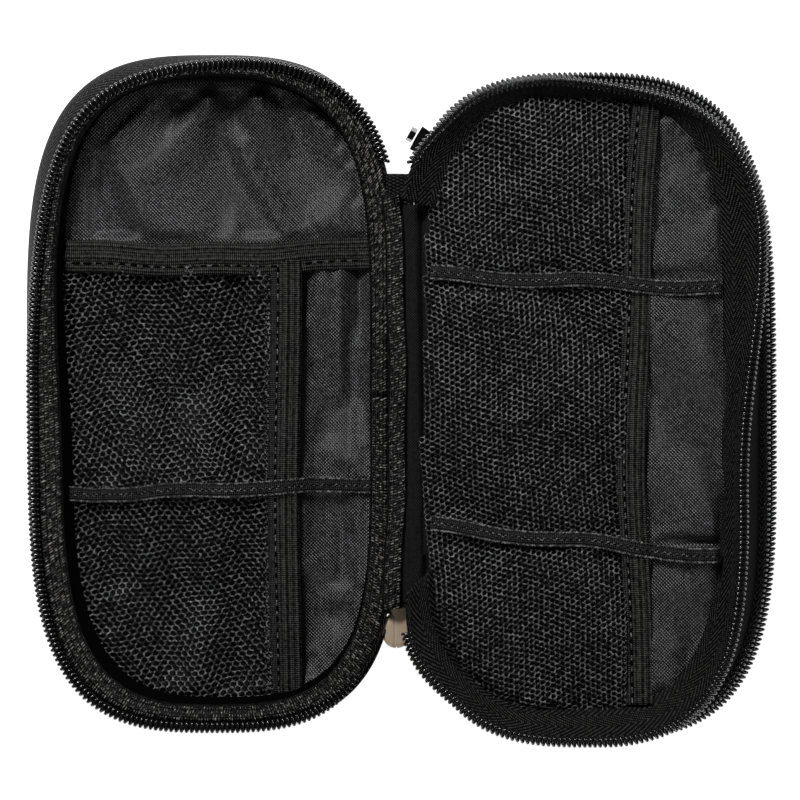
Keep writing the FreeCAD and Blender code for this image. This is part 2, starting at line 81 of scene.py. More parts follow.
front_coil_low, front_coil_high = node_box("front_zip_coil")
main_coil_low, main_coil_high = node_box("main_zip_coil")
rear_coil_low, rear_coil_high = node_box("rear_zip_coil_lower")
upper_coil_low, upper_coil_high = node_box("rear_zip_coil_upper")
front_panel_low, front_panel_high = node_box("front_slip_pocket")
main_panel_low, main_panel_high = node_box("divider_slip_panel")
front_shell_low, front_shell_high = node_box("front_shell")
rear_shell_low, rear_shell_high = node_box("rear_shell")
spine_low, spine_high = node_box("spine_outer")
hem_low, hem_high = node_box("front_pocket_elastic")
front_hem_low, front_hem_high = node_box("front_mesh_elastic")
front_ribbon_low, front_ribbon_high = node_box("front_divider_ribbon")
main_hem_low, main_hem_high = node_box("divider_mesh_elastic")
ribbon_up_low, ribbon_up_high = node_box("divider_ribbon_upper")
ribbon_down_low, ribbon_down_high = node_box("divider_ribbon_lower")
hinge_gap = -front_coil_high[0]
COIL_PITCH = 1.5
# Points round a zip or a shell.
RING_POINTS = 420
# Thickness of the sewn cloths.
SLIP_CLOTH = 0.35
LINING_CLOTH = 0.4
TAPE_CLOTH = 0.5
# The soft main half sinks a little at its top and leans, as it lies on the table.
MAIN_SLUMP = 4.2


# ---------------------------------------------------------------- outlines

class Outline:
    """Rounded outline of one half or one panel, seen from above.

    side is -1 where the hinge lies to the right, +1 where it lies to the left.
    The compass angle is measured at the centre: 0 away from the hinge, 90 up.
    skew is how far the outline leans to the left for each step up.
    """

    def __init__(self, side, centre, half, skew=0.0):
        self.side = side
        self.skew = skew
        self.centre = np.array(centre, float)
        self.half = np.array(half, float)

    def flat(self, theta, inset=0.0):
        """Points (n, 2) at curve angles theta, drawn in along the normal."""
        c, s = np.cos(theta), np.sin(theta)
        u = self.half[0] * np.sign(c) * np.abs(c) ** (2 / 3)
        v = self.half[1] * np.sign(s) * np.abs(s) ** (2 / 4)
        nu = 3 * np.sign(u) * np.abs(u / self.half[0]) ** 2 / self.half[0]
        nv = 4 * np.sign(v) * np.abs(v / self.half[1]) ** 3 / self.half[1]
        length = np.hypot(nu, nv) + 1e-12
        nu, nv = nu / length, nv / length
        compass = np.degrees(np.arctan2(v / self.half[1], u / self.half[0]))
        depth = inset(compass) if callable(inset) else np.full(len(theta), float(inset))
        u, v = u - depth * nu, v - depth * nv
        x = self.centre[0] + self.side * u - self.skew * v
        return np.stack([x, self.centre[1] + v], 1), np.stack([self.side * nu, nv], 1), compass

    def thetas(self, count, closed=False, reach=None):
        """Curve angles evenly spaced by length, from the lower hinge corner round."""
        dense = np.linspace(-math.pi, math.pi, 7201)
        points = self.flat(dense)[0]
        if reach is not None:
            keep = np.abs(points[:, 0]) >= reach
            away = np.where(keep)[0]
            dense, points = dense[away[0]:away[-1] + 1], points[away[0]:away[-1] + 1]
        steps = np.hypot(*np.diff(points, axis=0).T)
        length = np.concatenate([[0], np.cumsum(steps)])
        wanted = np.linspace(0, length[-1], count, endpoint=not closed)
        return np.interp(wanted, length, dense)

    def ring(self, theta, inset, level):
        """Points (n, 3); inset and level are numbers or functions of the compass angle."""
        flat, _, compass = self.flat(theta, inset)
        height = level(compass) if callable(level) else np.full(len(theta), float(level))
        return np.column_stack([flat, height])

    def inside(self, x, y, margin=0.0):
        """True where a point lies inside the outline let out by a margin."""
        u = np.abs(x - self.centre[0]) / (self.half[0] + margin)
        v = np.abs(y - self.centre[1]) / (self.half[1] + margin)
        return u ** 3 + v ** 4 < 1


def bump(angle, middle, width):
    """Smooth hill: 1 at the middle angle, 0 beyond the width either side."""
    away = (np.asarray(angle) - middle + 180) % 360 - 180
    t = np.clip(1 - np.abs(away) / width, 0, 1)
    return t * t * (3 - 2 * t)


def leaf(side, low, high, skew=0.0):
    """Outline of one half, from the box of its outermost ring."""
    far = high[0] if side > 0 else low[0]
    return Outline(side, (far / 2, (low[1] + high[1]) / 2), (abs(far) / 2, (high[1] - low[1]) / 2),
                   skew)


def panel(side, low, high, top):
    """Outline of a pocket panel, from its box and its top."""
    return Outline(side, ((low[0] + high[0]) / 2, (low[1] + top) / 2),
                   ((high[0] - low[0]) / 2, (top - low[1]) / 2))


front_leaf = leaf(-1, front_coil_low, front_coil_high)
main_leaf = leaf(1, rear_coil_low, rear_coil_high - [0, MAIN_SLUMP, 0], 0.014)
main_panel = panel(1, main_panel_low, main_panel_high, main_panel_high[1])
front_panel = panel(-1, front_panel_low, front_panel_high,
                    2 * front_leaf.centre[1] - front_panel_low[1])


def front_coil_inset(angle):
    """The front coil leans in at the upper far corner and out at the hinge ends."""
    return 2.3 + 4.2 * bump(angle, 52, 50) - 2.1 * bump(angle, 142, 26) - 1.8 * bump(angle, -142, 26)


def main_coil_inset(angle):
    """The main coil bows inward along the far side and runs out to the hinge at its ends."""
    far = 9.2 * bump(angle, -12, 55) + 3.8 * bump(angle, 64, 42) + 4.0 * bump(angle, -50, 36)
    return 1.6 + far - 4.0 * bump(angle, 146, 17) - 4.2 * bump(angle, -144, 15)


def reach_up(outline, x):
    """Lowest and highest y of an outline at x."""
    share = np.clip(np.abs(x - outline.centre[0]) / outline.half[0], 0, 1)
    rise = outline.half[1] * (1 - share ** 3) ** 0.25
    return outline.centre[1] - rise, outline.centre[1] + rise


def reach_across(outline, y):
    """Least and greatest x of an outline at y."""
    share = np.clip(np.abs(y - outline.centre[1]) / outline.half[1], 0, 1)
    spread = outline.half[0] * (1 - share ** 4) ** (1 / 3)
    return outline.centre[0] - spread, outline.centre[0] + spread


# ---------------------------------------------------------------- mesh helpers

def new_object(name, vertices, faces, uvs=None):
    """Make a mesh object from millimetre vertices; uvs are per vertex, in millimetres."""
    mesh = bpy.data.meshes.new(name)
    mesh.from_pydata((np.asarray(vertices, float) * MM).tolist(), [], [list(f) for f in faces])
    if uvs is not None:
        layer = mesh.uv_layers.new(name="weave")
        loops = np.zeros(len(mesh.loops), np.int32)
        mesh.loops.foreach_get("vertex_index", loops)
        layer.data.foreach_set("uv", np.asarray(uvs, np.float32)[loops].ravel())
    mesh.polygons.foreach_set("use_smooth", [True] * len(mesh.polygons))
    mesh.update()
    obj = bpy.data.objects.new(name, mesh)
    bpy.context.collection.objects.link(obj)
    return obj


def finish_piece(obj, material, body=None, replaces=()):
    """Give a piece its material, slot, body and the CAD nodes it stands for."""
    obj.data.materials.clear()
    obj.data.materials.append(materials[material])
    if replaces:
        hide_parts(*replaces)
    if body:
        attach(obj, body)
    return obj


def solidify(obj, thickness, offset=-1.0):
    """Give a sheet its thickness; offset is -1 behind its faces, 1 in front, 0 on both sides."""
    modifier = obj.modifiers.new("thickness", "SOLIDIFY")
    modifier.thickness = thickness * MM
    modifier.offset = offset


def grid_faces(rows, columns, wrap=False):
    """Quads over a rows by columns grid of vertices."""
    faces = []
    last = columns if wrap else columns - 1
    for r in range(rows - 1):
        for c in range(last):
            d = (c + 1) % columns
            faces.append((r * columns + c, r * columns + d,
                          (r + 1) * columns + d, (r + 1) * columns + c))
    return faces


def grid_uvs(rows):
    """Lengths along and across a stack of rows, for the weave."""
    middle = rows[len(rows) // 2]
    along = np.concatenate([[0], np.cumsum(np.linalg.norm(np.diff(middle, axis=0), axis=1))])
    across = [0.0]
    for a, b in zip(rows[:-1], rows[1:]):
        across.append(across[-1] + float(np.mean(np.linalg.norm(b - a, axis=1))))
    return np.concatenate([np.column_stack([along, np.full(len(along), w)]) for w in across])


def sheet_from_rows(name, rows, wrap=False):
    """Surface through a stack of rows of points."""
    rows = [np.asarray(r, float) for r in rows]
    faces = grid_faces(len(rows), len(rows[0]), wrap)
    return new_object(name, np.concatenate(rows), faces, grid_uvs(rows))


def loft(start, end, steps, sag=0.0):
    """Rows between two rings, hollowed by a sag in the middle."""
    rows = []
    for i in range(steps + 1):
        t = i / steps
        row = start * (1 - t) + end * t
        row[:, 2] -= sag * 4 * t * (1 - t)
        rows.append(row)
    return rows


def frames_along(points):
    """Side and up vectors along a path."""
    ahead = np.vstack([points[1:], points[-1:]])
    behind = np.vstack([points[:1], points[:-1]])
    tangent = ahead - behind
    tangent /= np.linalg.norm(tangent, axis=1)[:, None] + 1e-12
    up = np.tile([0.0, 0.0, 1.0], (len(points), 1))
    side = np.cross(tangent, up)
    side /= np.linalg.norm(side, axis=1)[:, None] + 1e-12
    return side, np.cross(side, tangent)


def tube(points, radius, sides):
    """Vertices and faces of a round cord along a path, capped at its ends."""
    points = np.asarray(points, float)
    side, up = frames_along(points)
    turns = np.linspace(0, 2 * math.pi, sides, endpoint=False)
    ring = (np.cos(turns)[None, :, None] * side[:, None, :]
            + np.sin(turns)[None, :, None] * up[:, None, :])
    radius = np.broadcast_to(radius, len(points))[:, None, None]
    vertices = (points[:, None, :] + radius * ring).reshape(-1, 3)
    faces = []
    count = len(points)
    for i in range(count - 1):
        for k in range(sides):
            m = (k + 1) % sides
            faces.append((i * sides + k, i * sides + m, (i + 1) * sides + m, (i + 1) * sides + k))
    faces.append(tuple(range(sides))[::-1])
    faces.append(tuple(range((count - 1) * sides, count * sides)))
    return vertices, faces


class Pile:
    """Collects many small closed forms into one mesh."""

    def __init__(self):
        self.vertices = []
        self.faces = []
        self.count = 0

    def add(self, vertices, faces):
        self.vertices.append(vertices)
        self.faces.extend([tuple(i + self.count for i in f) for f in faces])
        self.count += len(vertices)

    def build(self, name):
        return new_object(name, np.concatenate(self.vertices), self.faces)


def line_of(x, y, z):
    """Points of a line; each coordinate is an array or one number."""
    return np.column_stack(np.broadcast_arrays(x, y, z))


def resample(points, count):
    """Evenly spaced points along a path."""
    steps = np.linalg.norm(np.diff(points, axis=0), axis=1)
    length = np.concatenate([[0], np.cumsum(steps)])
    wanted = np.linspace(0, length[-1], count)
    return np.stack([np.interp(wanted, length, points[:, k]) for k in range(3)], 1), length[-1]


# ---------------------------------------------------------------- materials

class Nodes:
    """Short names for building a node tree."""

    def __init__(self, name):
        self.material = bpy.data.materials.new(name)
        self.material.use_nodes = True
        self.tree = self.material.node_tree
        self.shader = self.tree.nodes["Principled BSDF"]
        uv = self.tree.nodes.new("ShaderNodeUVMap")
        uv.uv_map = "weave"
        split = self.tree.nodes.new("ShaderNodeSeparateXYZ")
        self.link(uv.outputs[0], split.inputs[0])
        self.along, self.across = split.outputs[0], split.outputs[1]
        self.place = self.tree.nodes.new("ShaderNodeTexCoord").outputs["Object"]

    def link(self, source, socket):
        self.tree.links.new(source, socket)

    def math(self, operation, *inputs):
        """A Math node fed with sockets or numbers."""
        node = self.tree.nodes.new("ShaderNodeMath")
        node.operation = operation
        for socket, value in zip(node.inputs, inputs):
            if isinstance(value, (int, float)):
                socket.default_value = value
            else:
                self.link(value, socket)
        return node.outputs[0]

    def wave(self, value, pitch):
        """A sine wave of 0 to 1 with a pitch in millimetres."""
        turned = self.math("SINE", self.math("MULTIPLY", value, 2 * math.pi / pitch))
        return self.math("MULTIPLY_ADD", turned, 0.5, 0.5)

    def noise(self, scale, detail=3.0):
        node = self.tree.nodes.new("ShaderNodeTexNoise")
        node.inputs["Scale"].default_value = scale
        node.inputs["Detail"].default_value = detail
        self.link(self.place, node.inputs["Vector"])
        return node.outputs["Fac"]

    def ramp(self, value, low, high, colour_low, colour_high):
        """A colour that runs from one to another between two values."""
        node = self.tree.nodes.new("ShaderNodeValToRGB")
        node.color_ramp.elements[0].position = low
        node.color_ramp.elements[1].position = high
        node.color_ramp.elements[0].color = (*colour_low, 1)
        node.color_ramp.elements[1].color = (*colour_high, 1)
        self.link(value, node.inputs[0])
        return node.outputs[0]

    def bump(self, height, strength, distance):
        node = self.tree.nodes.new("ShaderNodeBump")
        node.inputs["Strength"].default_value = strength
        node.inputs["Distance"].default_value = distance * MM
        self.link(height, node.inputs["Height"])
        self.link(node.outputs[0], self.shader.inputs["Normal"])

    def finish(self, roughness, specular, coat=0.0):
        self.shader.inputs["Roughness"].default_value = roughness
        self.shader.inputs["Specular IOR Level"].default_value = specular
        self.shader.inputs["Coat Weight"].default_value = coat
        self.shader.inputs["Coat Roughness"].default_value = 0.2
        return self.material

    def colour(self, height, dark, light, low, high):
        self.link(self.ramp(height, low, high, dark, light), self.shader.inputs["Base Color"])


def twill_nylon(name, dark, light, roughness, specular, pitch=0.8, slope=1.0):
    """Close weave in diagonal rows on a dark ground, with a painted highlight on each crest."""
    n = Nodes(name)
    rows = n.wave(n.math("ADD", n.along, n.math("MULTIPLY", n.across, slope)), pitch)
    breaks = n.wave(n.math("SUBTRACT", n.along, n.math("MULTIPLY", n.across, slope)), pitch)
    crest = n.math("MULTIPLY", rows, n.math("MULTIPLY_ADD", breaks, 0.7, 0.3))
    speck = n.noise(900, 2)
    height = n.math("MULTIPLY", crest, n.math("MULTIPLY_ADD", speck, 1.5, 0.25))
    # The ramp paints a highlight on the crests; the noise scatters painted glints.
    n.colour(height, dark, light, 0.28, 0.92)
    n.bump(height, 0.6, 0.25)
    return n.finish(roughness, specular=specular)


def herringbone(name, dark, light):
    """Zip tape: steep chevron ribs in lanes along it, with a painted highlight on their crests."""
    n = Nodes(name)
    lane = n.math("PINGPONG", n.across, TAPE_LANE)
    ribs = n.wave(n.math("ADD", n.along, n.math("MULTIPLY", lane, 2.0)), 1.9)
    threads = n.wave(n.math("SUBTRACT", n.along, n.math("MULTIPLY", lane, 0.4)), 0.62)
    height = n.math("MULTIPLY", ribs, n.math("MULTIPLY_ADD", threads, 0.6, 0.4))
    speck = n.noise(1300, 2)
    height = n.math("MULTIPLY", height, n.math("MULTIPLY_ADD", speck, 2.2, -0.15))
    # The ramp paints a highlight on the ribs' crests; the noise scatters painted glints.
    n.colour(height, dark, light, 0.35, 1.0)
    n.bump(height, 0.8, 0.25)
    return n.finish(0.55, specular=0.1)


def ribbed_elastic(name, dark, light, rib=0.7):
    """Elastic: ribs along it, each a row of small stitches with a painted highlight."""
    n = Nodes(name)
    dots = n.wave(n.along, 0.6)
    ribs = n.wave(n.math("SUBTRACT", n.across, rib / 4), rib)
    speck = n.noise(1000, 2)
    height = n.math("MULTIPLY", n.math("MULTIPLY_ADD", dots, 0.8, 0.2),
                    n.math("MULTIPLY_ADD", ribs, 0.6, 0.4))
    height = n.math("MULTIPLY", height, n.math("MULTIPLY_ADD", speck, 1.9, 0.05))
    # The ramp paints a highlight on each stitch's crest.
    n.colour(height, dark, light, 0.3, 1.0)
    n.bump(height, 0.7, 0.25)
    return n.finish(0.5, specular=0.12)


def knitted_binding(name, dark, light):
    """Binding tape: columns of short stitches, half a step apart, each with a painted highlight."""
    n = Nodes(name)
    column = n.math("PINGPONG", n.across, 0.8)
    slant = n.wave(n.math("ADD", n.along, n.math("MULTIPLY", column, 1.1)), 0.78)
    columns = n.wave(n.across, 0.8)
    speck = n.noise(1000, 2)
    height = n.math("MULTIPLY", slant, n.math("MULTIPLY_ADD", columns, 0.75, 0.25))
    height = n.math("MULTIPLY", height, n.math("MULTIPLY_ADD", speck, 2.2, -0.25))
    # The ramp paints a highlight on each stitch's crest.
    n.colour(height, dark, light, 0.45, 1.0)
    n.bump(height, 0.9, 0.35)
    return n.finish(0.42, specular=0.2)


def net_yarn(name, dark, light):
    """Knitted yarn: dark, with painted glints scattered by noise."""
    n = Nodes(name)
    speck = n.noise(1100, 3)
    # The ramp paints glints of light on the dark yarn.
    n.colour(speck, dark, light, 0.46, 0.72)
    n.bump(speck, 0.4, 0.12)
    return n.finish(0.34, specular=0.4)


def moulded_nylon(name, dark, light, roughness):
    """Glossy moulded nylon of the coils."""
    n = Nodes(name)
    noise = n.noise(700, 3)
    n.colour(noise, dark, light, 0.3, 0.8)
    n.bump(noise, 0.12, 0.05)
    return n.finish(roughness, specular=0.9, coat=0.4)


def pull_leather(name, dark, light):
    """Beige leatherette of the main pull: fine grain and slow colour change."""
    n = Nodes(name)
    grain = n.noise(2200, 4)
    cloud = n.noise(130, 3)
    n.colour(cloud, dark, light, 0.35, 0.7)
    n.bump(grain, 0.35, 0.12)
    return n.finish(0.5, specular=0.4)


def enamel(name, dark, light):
    """Black enamelled metal of the sliders, slightly worn."""
    n = Nodes(name)
    noise = n.noise(400, 4)
    n.colour(noise, dark, light, 0.4, 0.75)
    n.bump(noise, 0.1, 0.05)
    n.shader.inputs["Metallic"].default_value = 0.6
    return n.finish(0.32, specular=0.6)


BLACK = (0.001, 0.001, 0.0012)
# Width of one lane of the zip tape's chevrons.
TAPE_LANE = 3.3
materials = {
    "shell": twill_nylon("shell_twill", BLACK, (0.07, 0.07, 0.068), 0.55, 0.1, 1.0, 0.45),
    "outer_tape": herringbone("outer_tape", BLACK, (0.1, 0.1, 0.097)),
    # The lit copy of the black nylon, with bright painted highlights on its crests.
    "nylon": twill_nylon("glossy_nylon", BLACK, (0.31, 0.31, 0.322), 0.3, 0.42, 1.02),
    # Darker copy of the nylon: painted shade for cloth under the pockets and in the hinge.
    "shaded_lining": twill_nylon("lining_nylon", BLACK, (0.05, 0.05, 0.053), 0.45, 0.12),
    # Darkest copy of the nylon: painted shade for upright walls, hinge folds and stitch dimples.
    "deep_shade": twill_nylon("deep_shade_nylon", BLACK, (0.007, 0.007, 0.0075), 0.7, 0.03),
    # Near-black net yarn; its light colour is painted glints.
    "mesh": net_yarn("net_yarn", (0.006, 0.006, 0.006), (0.34, 0.34, 0.35)),
    "elastic": ribbed_elastic("ribbed_elastic", BLACK, (0.15, 0.148, 0.143)),
    "ribbon": ribbed_elastic("divider_ribbon", (0.006, 0.006, 0.0065), (0.1, 0.098, 0.106), 0.45),
    "binding": knitted_binding("seam_binding", BLACK, (0.12, 0.117, 0.113)),
    # Near-black binding stitches; their light colour is painted glints.
    "stitch": net_yarn("binding_stitch", (0.02, 0.02, 0.02), (0.62, 0.6, 0.58)),
    "tape": herringbone("zip_tape", BLACK, (0.1, 0.098, 0.095)),
    "coil": moulded_nylon("zip_coil", (0.003, 0.003, 0.0032), (0.01, 0.01, 0.011), 0.2),
    # Near-black sewing thread; its light colour is painted glints.
    "thread": net_yarn("sewing_thread", (0.03, 0.03, 0.031), (0.5, 0.49, 0.5)),
    "pull": pull_leather("pull_leather", (0.66, 0.5, 0.36), (0.8, 0.63, 0.47)),
    "enamel": enamel("slider_enamel", (0.006, 0.006, 0.006), (0.02, 0.02, 0.021)),
}


# ---------------------------------------------------------------- cloth settled by simulation

# The cloth is simulated ten times life size, where the solver is steady.
SIMULATED_SIZE = 10 * MM
SIMULATED_FRAMES = 28


def settle_cloth(name, outline, pinned, level, slack, creases, lift=1.0):
    """Settle a sheet held at its rim and along its seams; return its heights.

    The sheet starts from soft creases, and lift -1 turns the sag into a billow where something
    lies close below.
    """
    step = 2.6
    half = outline.half + 3
    xs = np.arange(-half[0], half[0] + step, step) + outline.centre[0]
    ys = np.arange(-half[1], half[1] + step, step) + outline.centre[1]
    grid_x, grid_y = np.meshgrid(xs, ys)
    held = ~outline.inside(grid_x, grid_y, -1.0) | pinned(grid_x, grid_y)
    base = level(grid_x, grid_y)
    height = base + np.where(held, 0, creases(grid_x, grid_y))
    flat = np.column_stack([grid_x.ravel(), grid_y.ravel(), height.ravel()]) * SIMULATED_SIZE
    mesh = bpy.data.meshes.new(name)
    mesh.from_pydata(flat.tolist(), [], grid_faces(len(ys), len(xs)))
    cloth = bpy.data.objects.new(name, mesh)
    bpy.context.collection.objects.link(cloth)
    group = cloth.vertex_groups.new(name="held")
    group.add(np.where(held.ravel())[0].tolist(), 1.0, "REPLACE")
    settled = simulate(cloth, slack)[:, 2].reshape(base.shape) / SIMULATED_SIZE
    bpy.data.objects.remove(cloth)
    return Field(xs, ys, base + lift * np.where(held, 0, settled - base))


def simulate(cloth, slack):
    """Run the cloth solver on a mesh; return where its vertices come to rest."""
    modifier = cloth.modifiers.new("cloth", "CLOTH")
    settings = modifier.settings
    settings.quality = 6
    settings.mass = 0.2
    settings.tension_stiffness = 25
    settings.compression_stiffness = 25
    settings.shear_stiffness = 12
    settings.bending_stiffness = 6
    settings.air_damping = 4
    settings.vertex_group_mass = "held"
    settings.shrink_min = -slack
    settings.effector_weights.gravity = 0.35
    modifier.collision_settings.use_collision = False
    scene = bpy.context.scene
    for number in range(1, SIMULATED_FRAMES + 1):
        scene.frame_set(number)
    evaluated = cloth.evaluated_get(bpy.context.evaluated_depsgraph_get())
    result = np.zeros(len(evaluated.data.vertices) * 3)
    evaluated.data.vertices.foreach_get("co", result)
    scene.frame_set(1)
    return result.reshape(-1, 3)


class Field:
    """Heights on a regular grid, read anywhere by smooth interpolation."""

    def __init__(self, xs, ys, heights):
        self.xs, self.ys, self.heights = xs, ys, heights

    def __call__(self, x, y):
        fx = np.clip((np.asarray(x) - self.xs[0]) / (self.xs[1] - self.xs[0]), 0, len(self.xs) - 1.001)
        fy = np.clip((np.asarray(y) - self.ys[0]) / (self.ys[1] - self.ys[0]), 0, len(self.ys) - 1.001)
        ix, iy = fx.astype(int), fy.astype(int)
        tx, ty = fx - ix, fy - iy
        h = self.heights
        low = h[iy, ix] * (1 - tx) + h[iy, ix + 1] * tx
        high = h[iy + 1, ix] * (1 - tx) + h[iy + 1, ix + 1] * tx
        return low * (1 - ty) + high * ty


def declare_cloth(obj, cut_area=None):
    """Read a piece of cloth's points and work out the area it was cut to; neither is used further.

    The cut is the piece's outline in plan, flat, before any fold or gather lifts it. Its area is
    worked out from the plan and not from the shaped cloth. A net gives its own area, holes included.
    """
    places = np.zeros(len(obj.data.vertices) * 3)
    obj.data.vertices.foreach_get("co", places)
    places = places.reshape(-1, 3)
    if cut_area is None:
        cut_area = sum(face.area * abs(face.normal.z) for face in obj.data.polygons)


def near(value, target, width):
    return np.abs(value - target) < width


# ---------------------------------------------------------------- piece builders

def coil(name, path, body, replaces, reach=1.2, thickness=0.6, wire=0.48, phase=0.0, lean=0.0):
    """Spiral nylon coil along a path; each loop lies square to the path and steps on below.

    lean tips the loops outward.
    """
    dense, length = resample(path, 3000)
    side, up = frames_along(dense)
    outward = np.sign(np.mean(np.sum(side * (dense - dense.mean(0)), axis=1)))
    side = side * outward
    places = np.linspace(0, length, len(dense))
    per_turn = 14
    turns = np.arange(int(length / COIL_PITCH) * per_turn + 1) / per_turn + phase
    whole = np.floor(turns)
    part = turns - whole
    step = np.clip(2 * part - 1, 0, 1)
    along = (whole + step * step * (3 - 2 * step)) * COIL_PITCH

    def at(values):
        return np.stack([np.interp(along, places, values[:, k]) for k in range(3)], 1)
    side, up = at(side), at(up)
    angle = part * 2 * math.pi
    out = side * math.cos(lean) + up * math.sin(lean)
    rise = up * math.cos(lean) - side * math.sin(lean)
    c, d = np.cos(angle), np.sin(angle)
    wide = reach * np.sign(c) * np.abs(c) ** 0.75
    high = thickness * np.sign(d) * np.abs(d) ** 0.75
    line = at(dense) + wide[:, None] * out + high[:, None] * rise
    head = 1 + 0.1 * np.clip(c, 0, 1) ** 4
    obj = new_object(name, *tube(line, wire * head, 6))
    finish_piece(obj, "coil", body, replaces)


def stitch_row(pile, path, surface_up, length, gap, radius):
    """Dashes of thread laid along a path."""
    _, total = resample(path, 2)
    count = max(2, int(total / (length + gap)))
    dense, _ = resample(path, count * 6 + 1)
    for i in range(count):
        dash = dense[i * 6:i * 6 + 5].copy()
        dash[:, 2] += surface_up
        dash[0, 2] -= radius
        dash[-1, 2] -= radius
        pile.add(*tube(dash, radius, 5))


# Where each column of binding stitches starts and ends, as shares of the binding's width.
KNIT_COLUMNS = ((0.03, 0.25), (0.27, 0.49), (0.51, 0.73), (0.75, 0.97))
KNIT_RADIUS = 0.17


def knit(pile, rows, pitch, lift):
    """Short stitches laid across a strip of rows, a little longer or shorter each time."""
    rows = np.array(rows)
    steps = np.linalg.norm(np.diff(rows[len(rows) // 2], axis=0), axis=1)
    length = np.concatenate([[0], np.cumsum(steps)])
    for column, (start, end) in enumerate(KNIT_COLUMNS):
        count = int(length[-1] / pitch)
        for i in range(count):
            wander = 0.4 * math.sin(i * 2.4 + column) + 0.4 * math.sin(i * 5.3 + 2 * column)
            if math.sin(i * 1.7 + 3.1 * column) * math.sin(i * 0.37 + column) > 0.45:
                continue
            places = (i + 0.5 * (column % 2) + 0.25 * wander + np.linspace(0, 0.45, 4)) * pitch
            middle = (start + end) / 2
            reach = (end - start) / 2 * (0.86 + 0.3 * wander)
            points = []
            for place, share in zip(places, np.linspace(middle - reach, middle + reach, 4)):
                low = min(int(share * (len(rows) - 1)), len(rows) - 2)
                part = share * (len(rows) - 1) - low
                line = rows[low] * (1 - part) + rows[low + 1] * part
                points.append([np.interp(place, length, line[:, k]) for k in range(3)])
            points = np.array(points)
            points[:, 2] += [lift - KNIT_RADIUS, lift, lift, lift - KNIT_RADIUS]
            pile.add(*tube(points, KNIT_RADIUS * (1 + 0.5 * wander), 4))


def cloth_piece(name, rows, thickness, material, body, replaces=(), wrap=False, offset=-1.0):
    """Sheet through rows of points, with its thickness, material, slot and body."""
    sheet = sheet_from_rows(name, rows, wrap)
    solidify(sheet, thickness, offset)
    return finish_piece(sheet, material, body, replaces)


def dashes(name, material, body, path, surface_up, length, gap, radius):
    """One row of stitches, or of the painted shade between them, as a piece of its own."""
    pile = Pile()
    stitch_row(pile, path, surface_up, length, gap, radius)
    finish_piece(pile.build(name), material, body)


def knitted_stitches(name, body, rows, pitch, lift):
    """The binding's stitches, as real thread."""
    pile = Pile()
    knit(pile, rows, pitch, lift)
    finish_piece(pile.build(name), "stitch", body)


def band(name, path, width, ribs, rib_height, thickness, material, body, replaces=()):
    """Flat band along a path, with ribs that run along it and edges that turn down."""
    side, up = frames_along(path)
    across = np.linspace(-1, 1, max(5, ribs * 4 + 1))
    rows = []
    for t in across:
        rib = rib_height * (0.5 - 0.5 * math.cos(math.pi * ribs * (t + 1))) if ribs else 0
        edge = -0.35 * abs(t) ** 6
        offset = t * width / 2
        rows.append(path + side * offset + up * (rib + edge))
    cloth_piece(name, rows, thickness, material, body, replaces)


def cloth_area(name, x_range, y_range, field, lift, spacing, keep):
    """Grid sheet over a region, lying on a height field."""
    xs = np.arange(x_range[0], x_range[1] + spacing / 2, spacing)
    ys = np.arange(y_range[0], y_range[1] + spacing / 2, spacing)
    grid_x, grid_y = np.meshgrid(xs, ys)
    heights = field(grid_x, grid_y) + lift
    vertices = np.column_stack([grid_x.ravel(), grid_y.ravel(), heights.ravel()])
    faces = grid_faces(len(ys), len(xs))
    inside = keep(grid_x, grid_y).ravel()
    faces = [f for f in faces if all(inside[i] for i in f)]
    used = np.unique(np.array(faces))
    renumber = np.full(len(vertices), -1)
    renumber[used] = np.arange(len(used))
    vertices = vertices[used]
    faces = [tuple(renumber[i] for i in f) for f in faces]
    return new_object(name, vertices, faces, vertices[:, :2])


def lining_sheet(cloth, thickness, material, body, replaces):
    solidify(cloth, thickness)
    finish_piece(cloth, material, body, replaces)
    declare_cloth(cloth)


def panel_ranges(outline, margin):
    """Least and greatest x and y of a panel let out by a margin."""
    low = outline.centre - outline.half - margin
    high = outline.centre + outline.half + margin
    return (low[0], high[0]), (low[1], high[1])


# Height of a row of six-sided cells for each unit of pitch, and the pitch for each unit of side.
ROW_RISE = 0.866
SIDE_TO_PITCH = 1.732


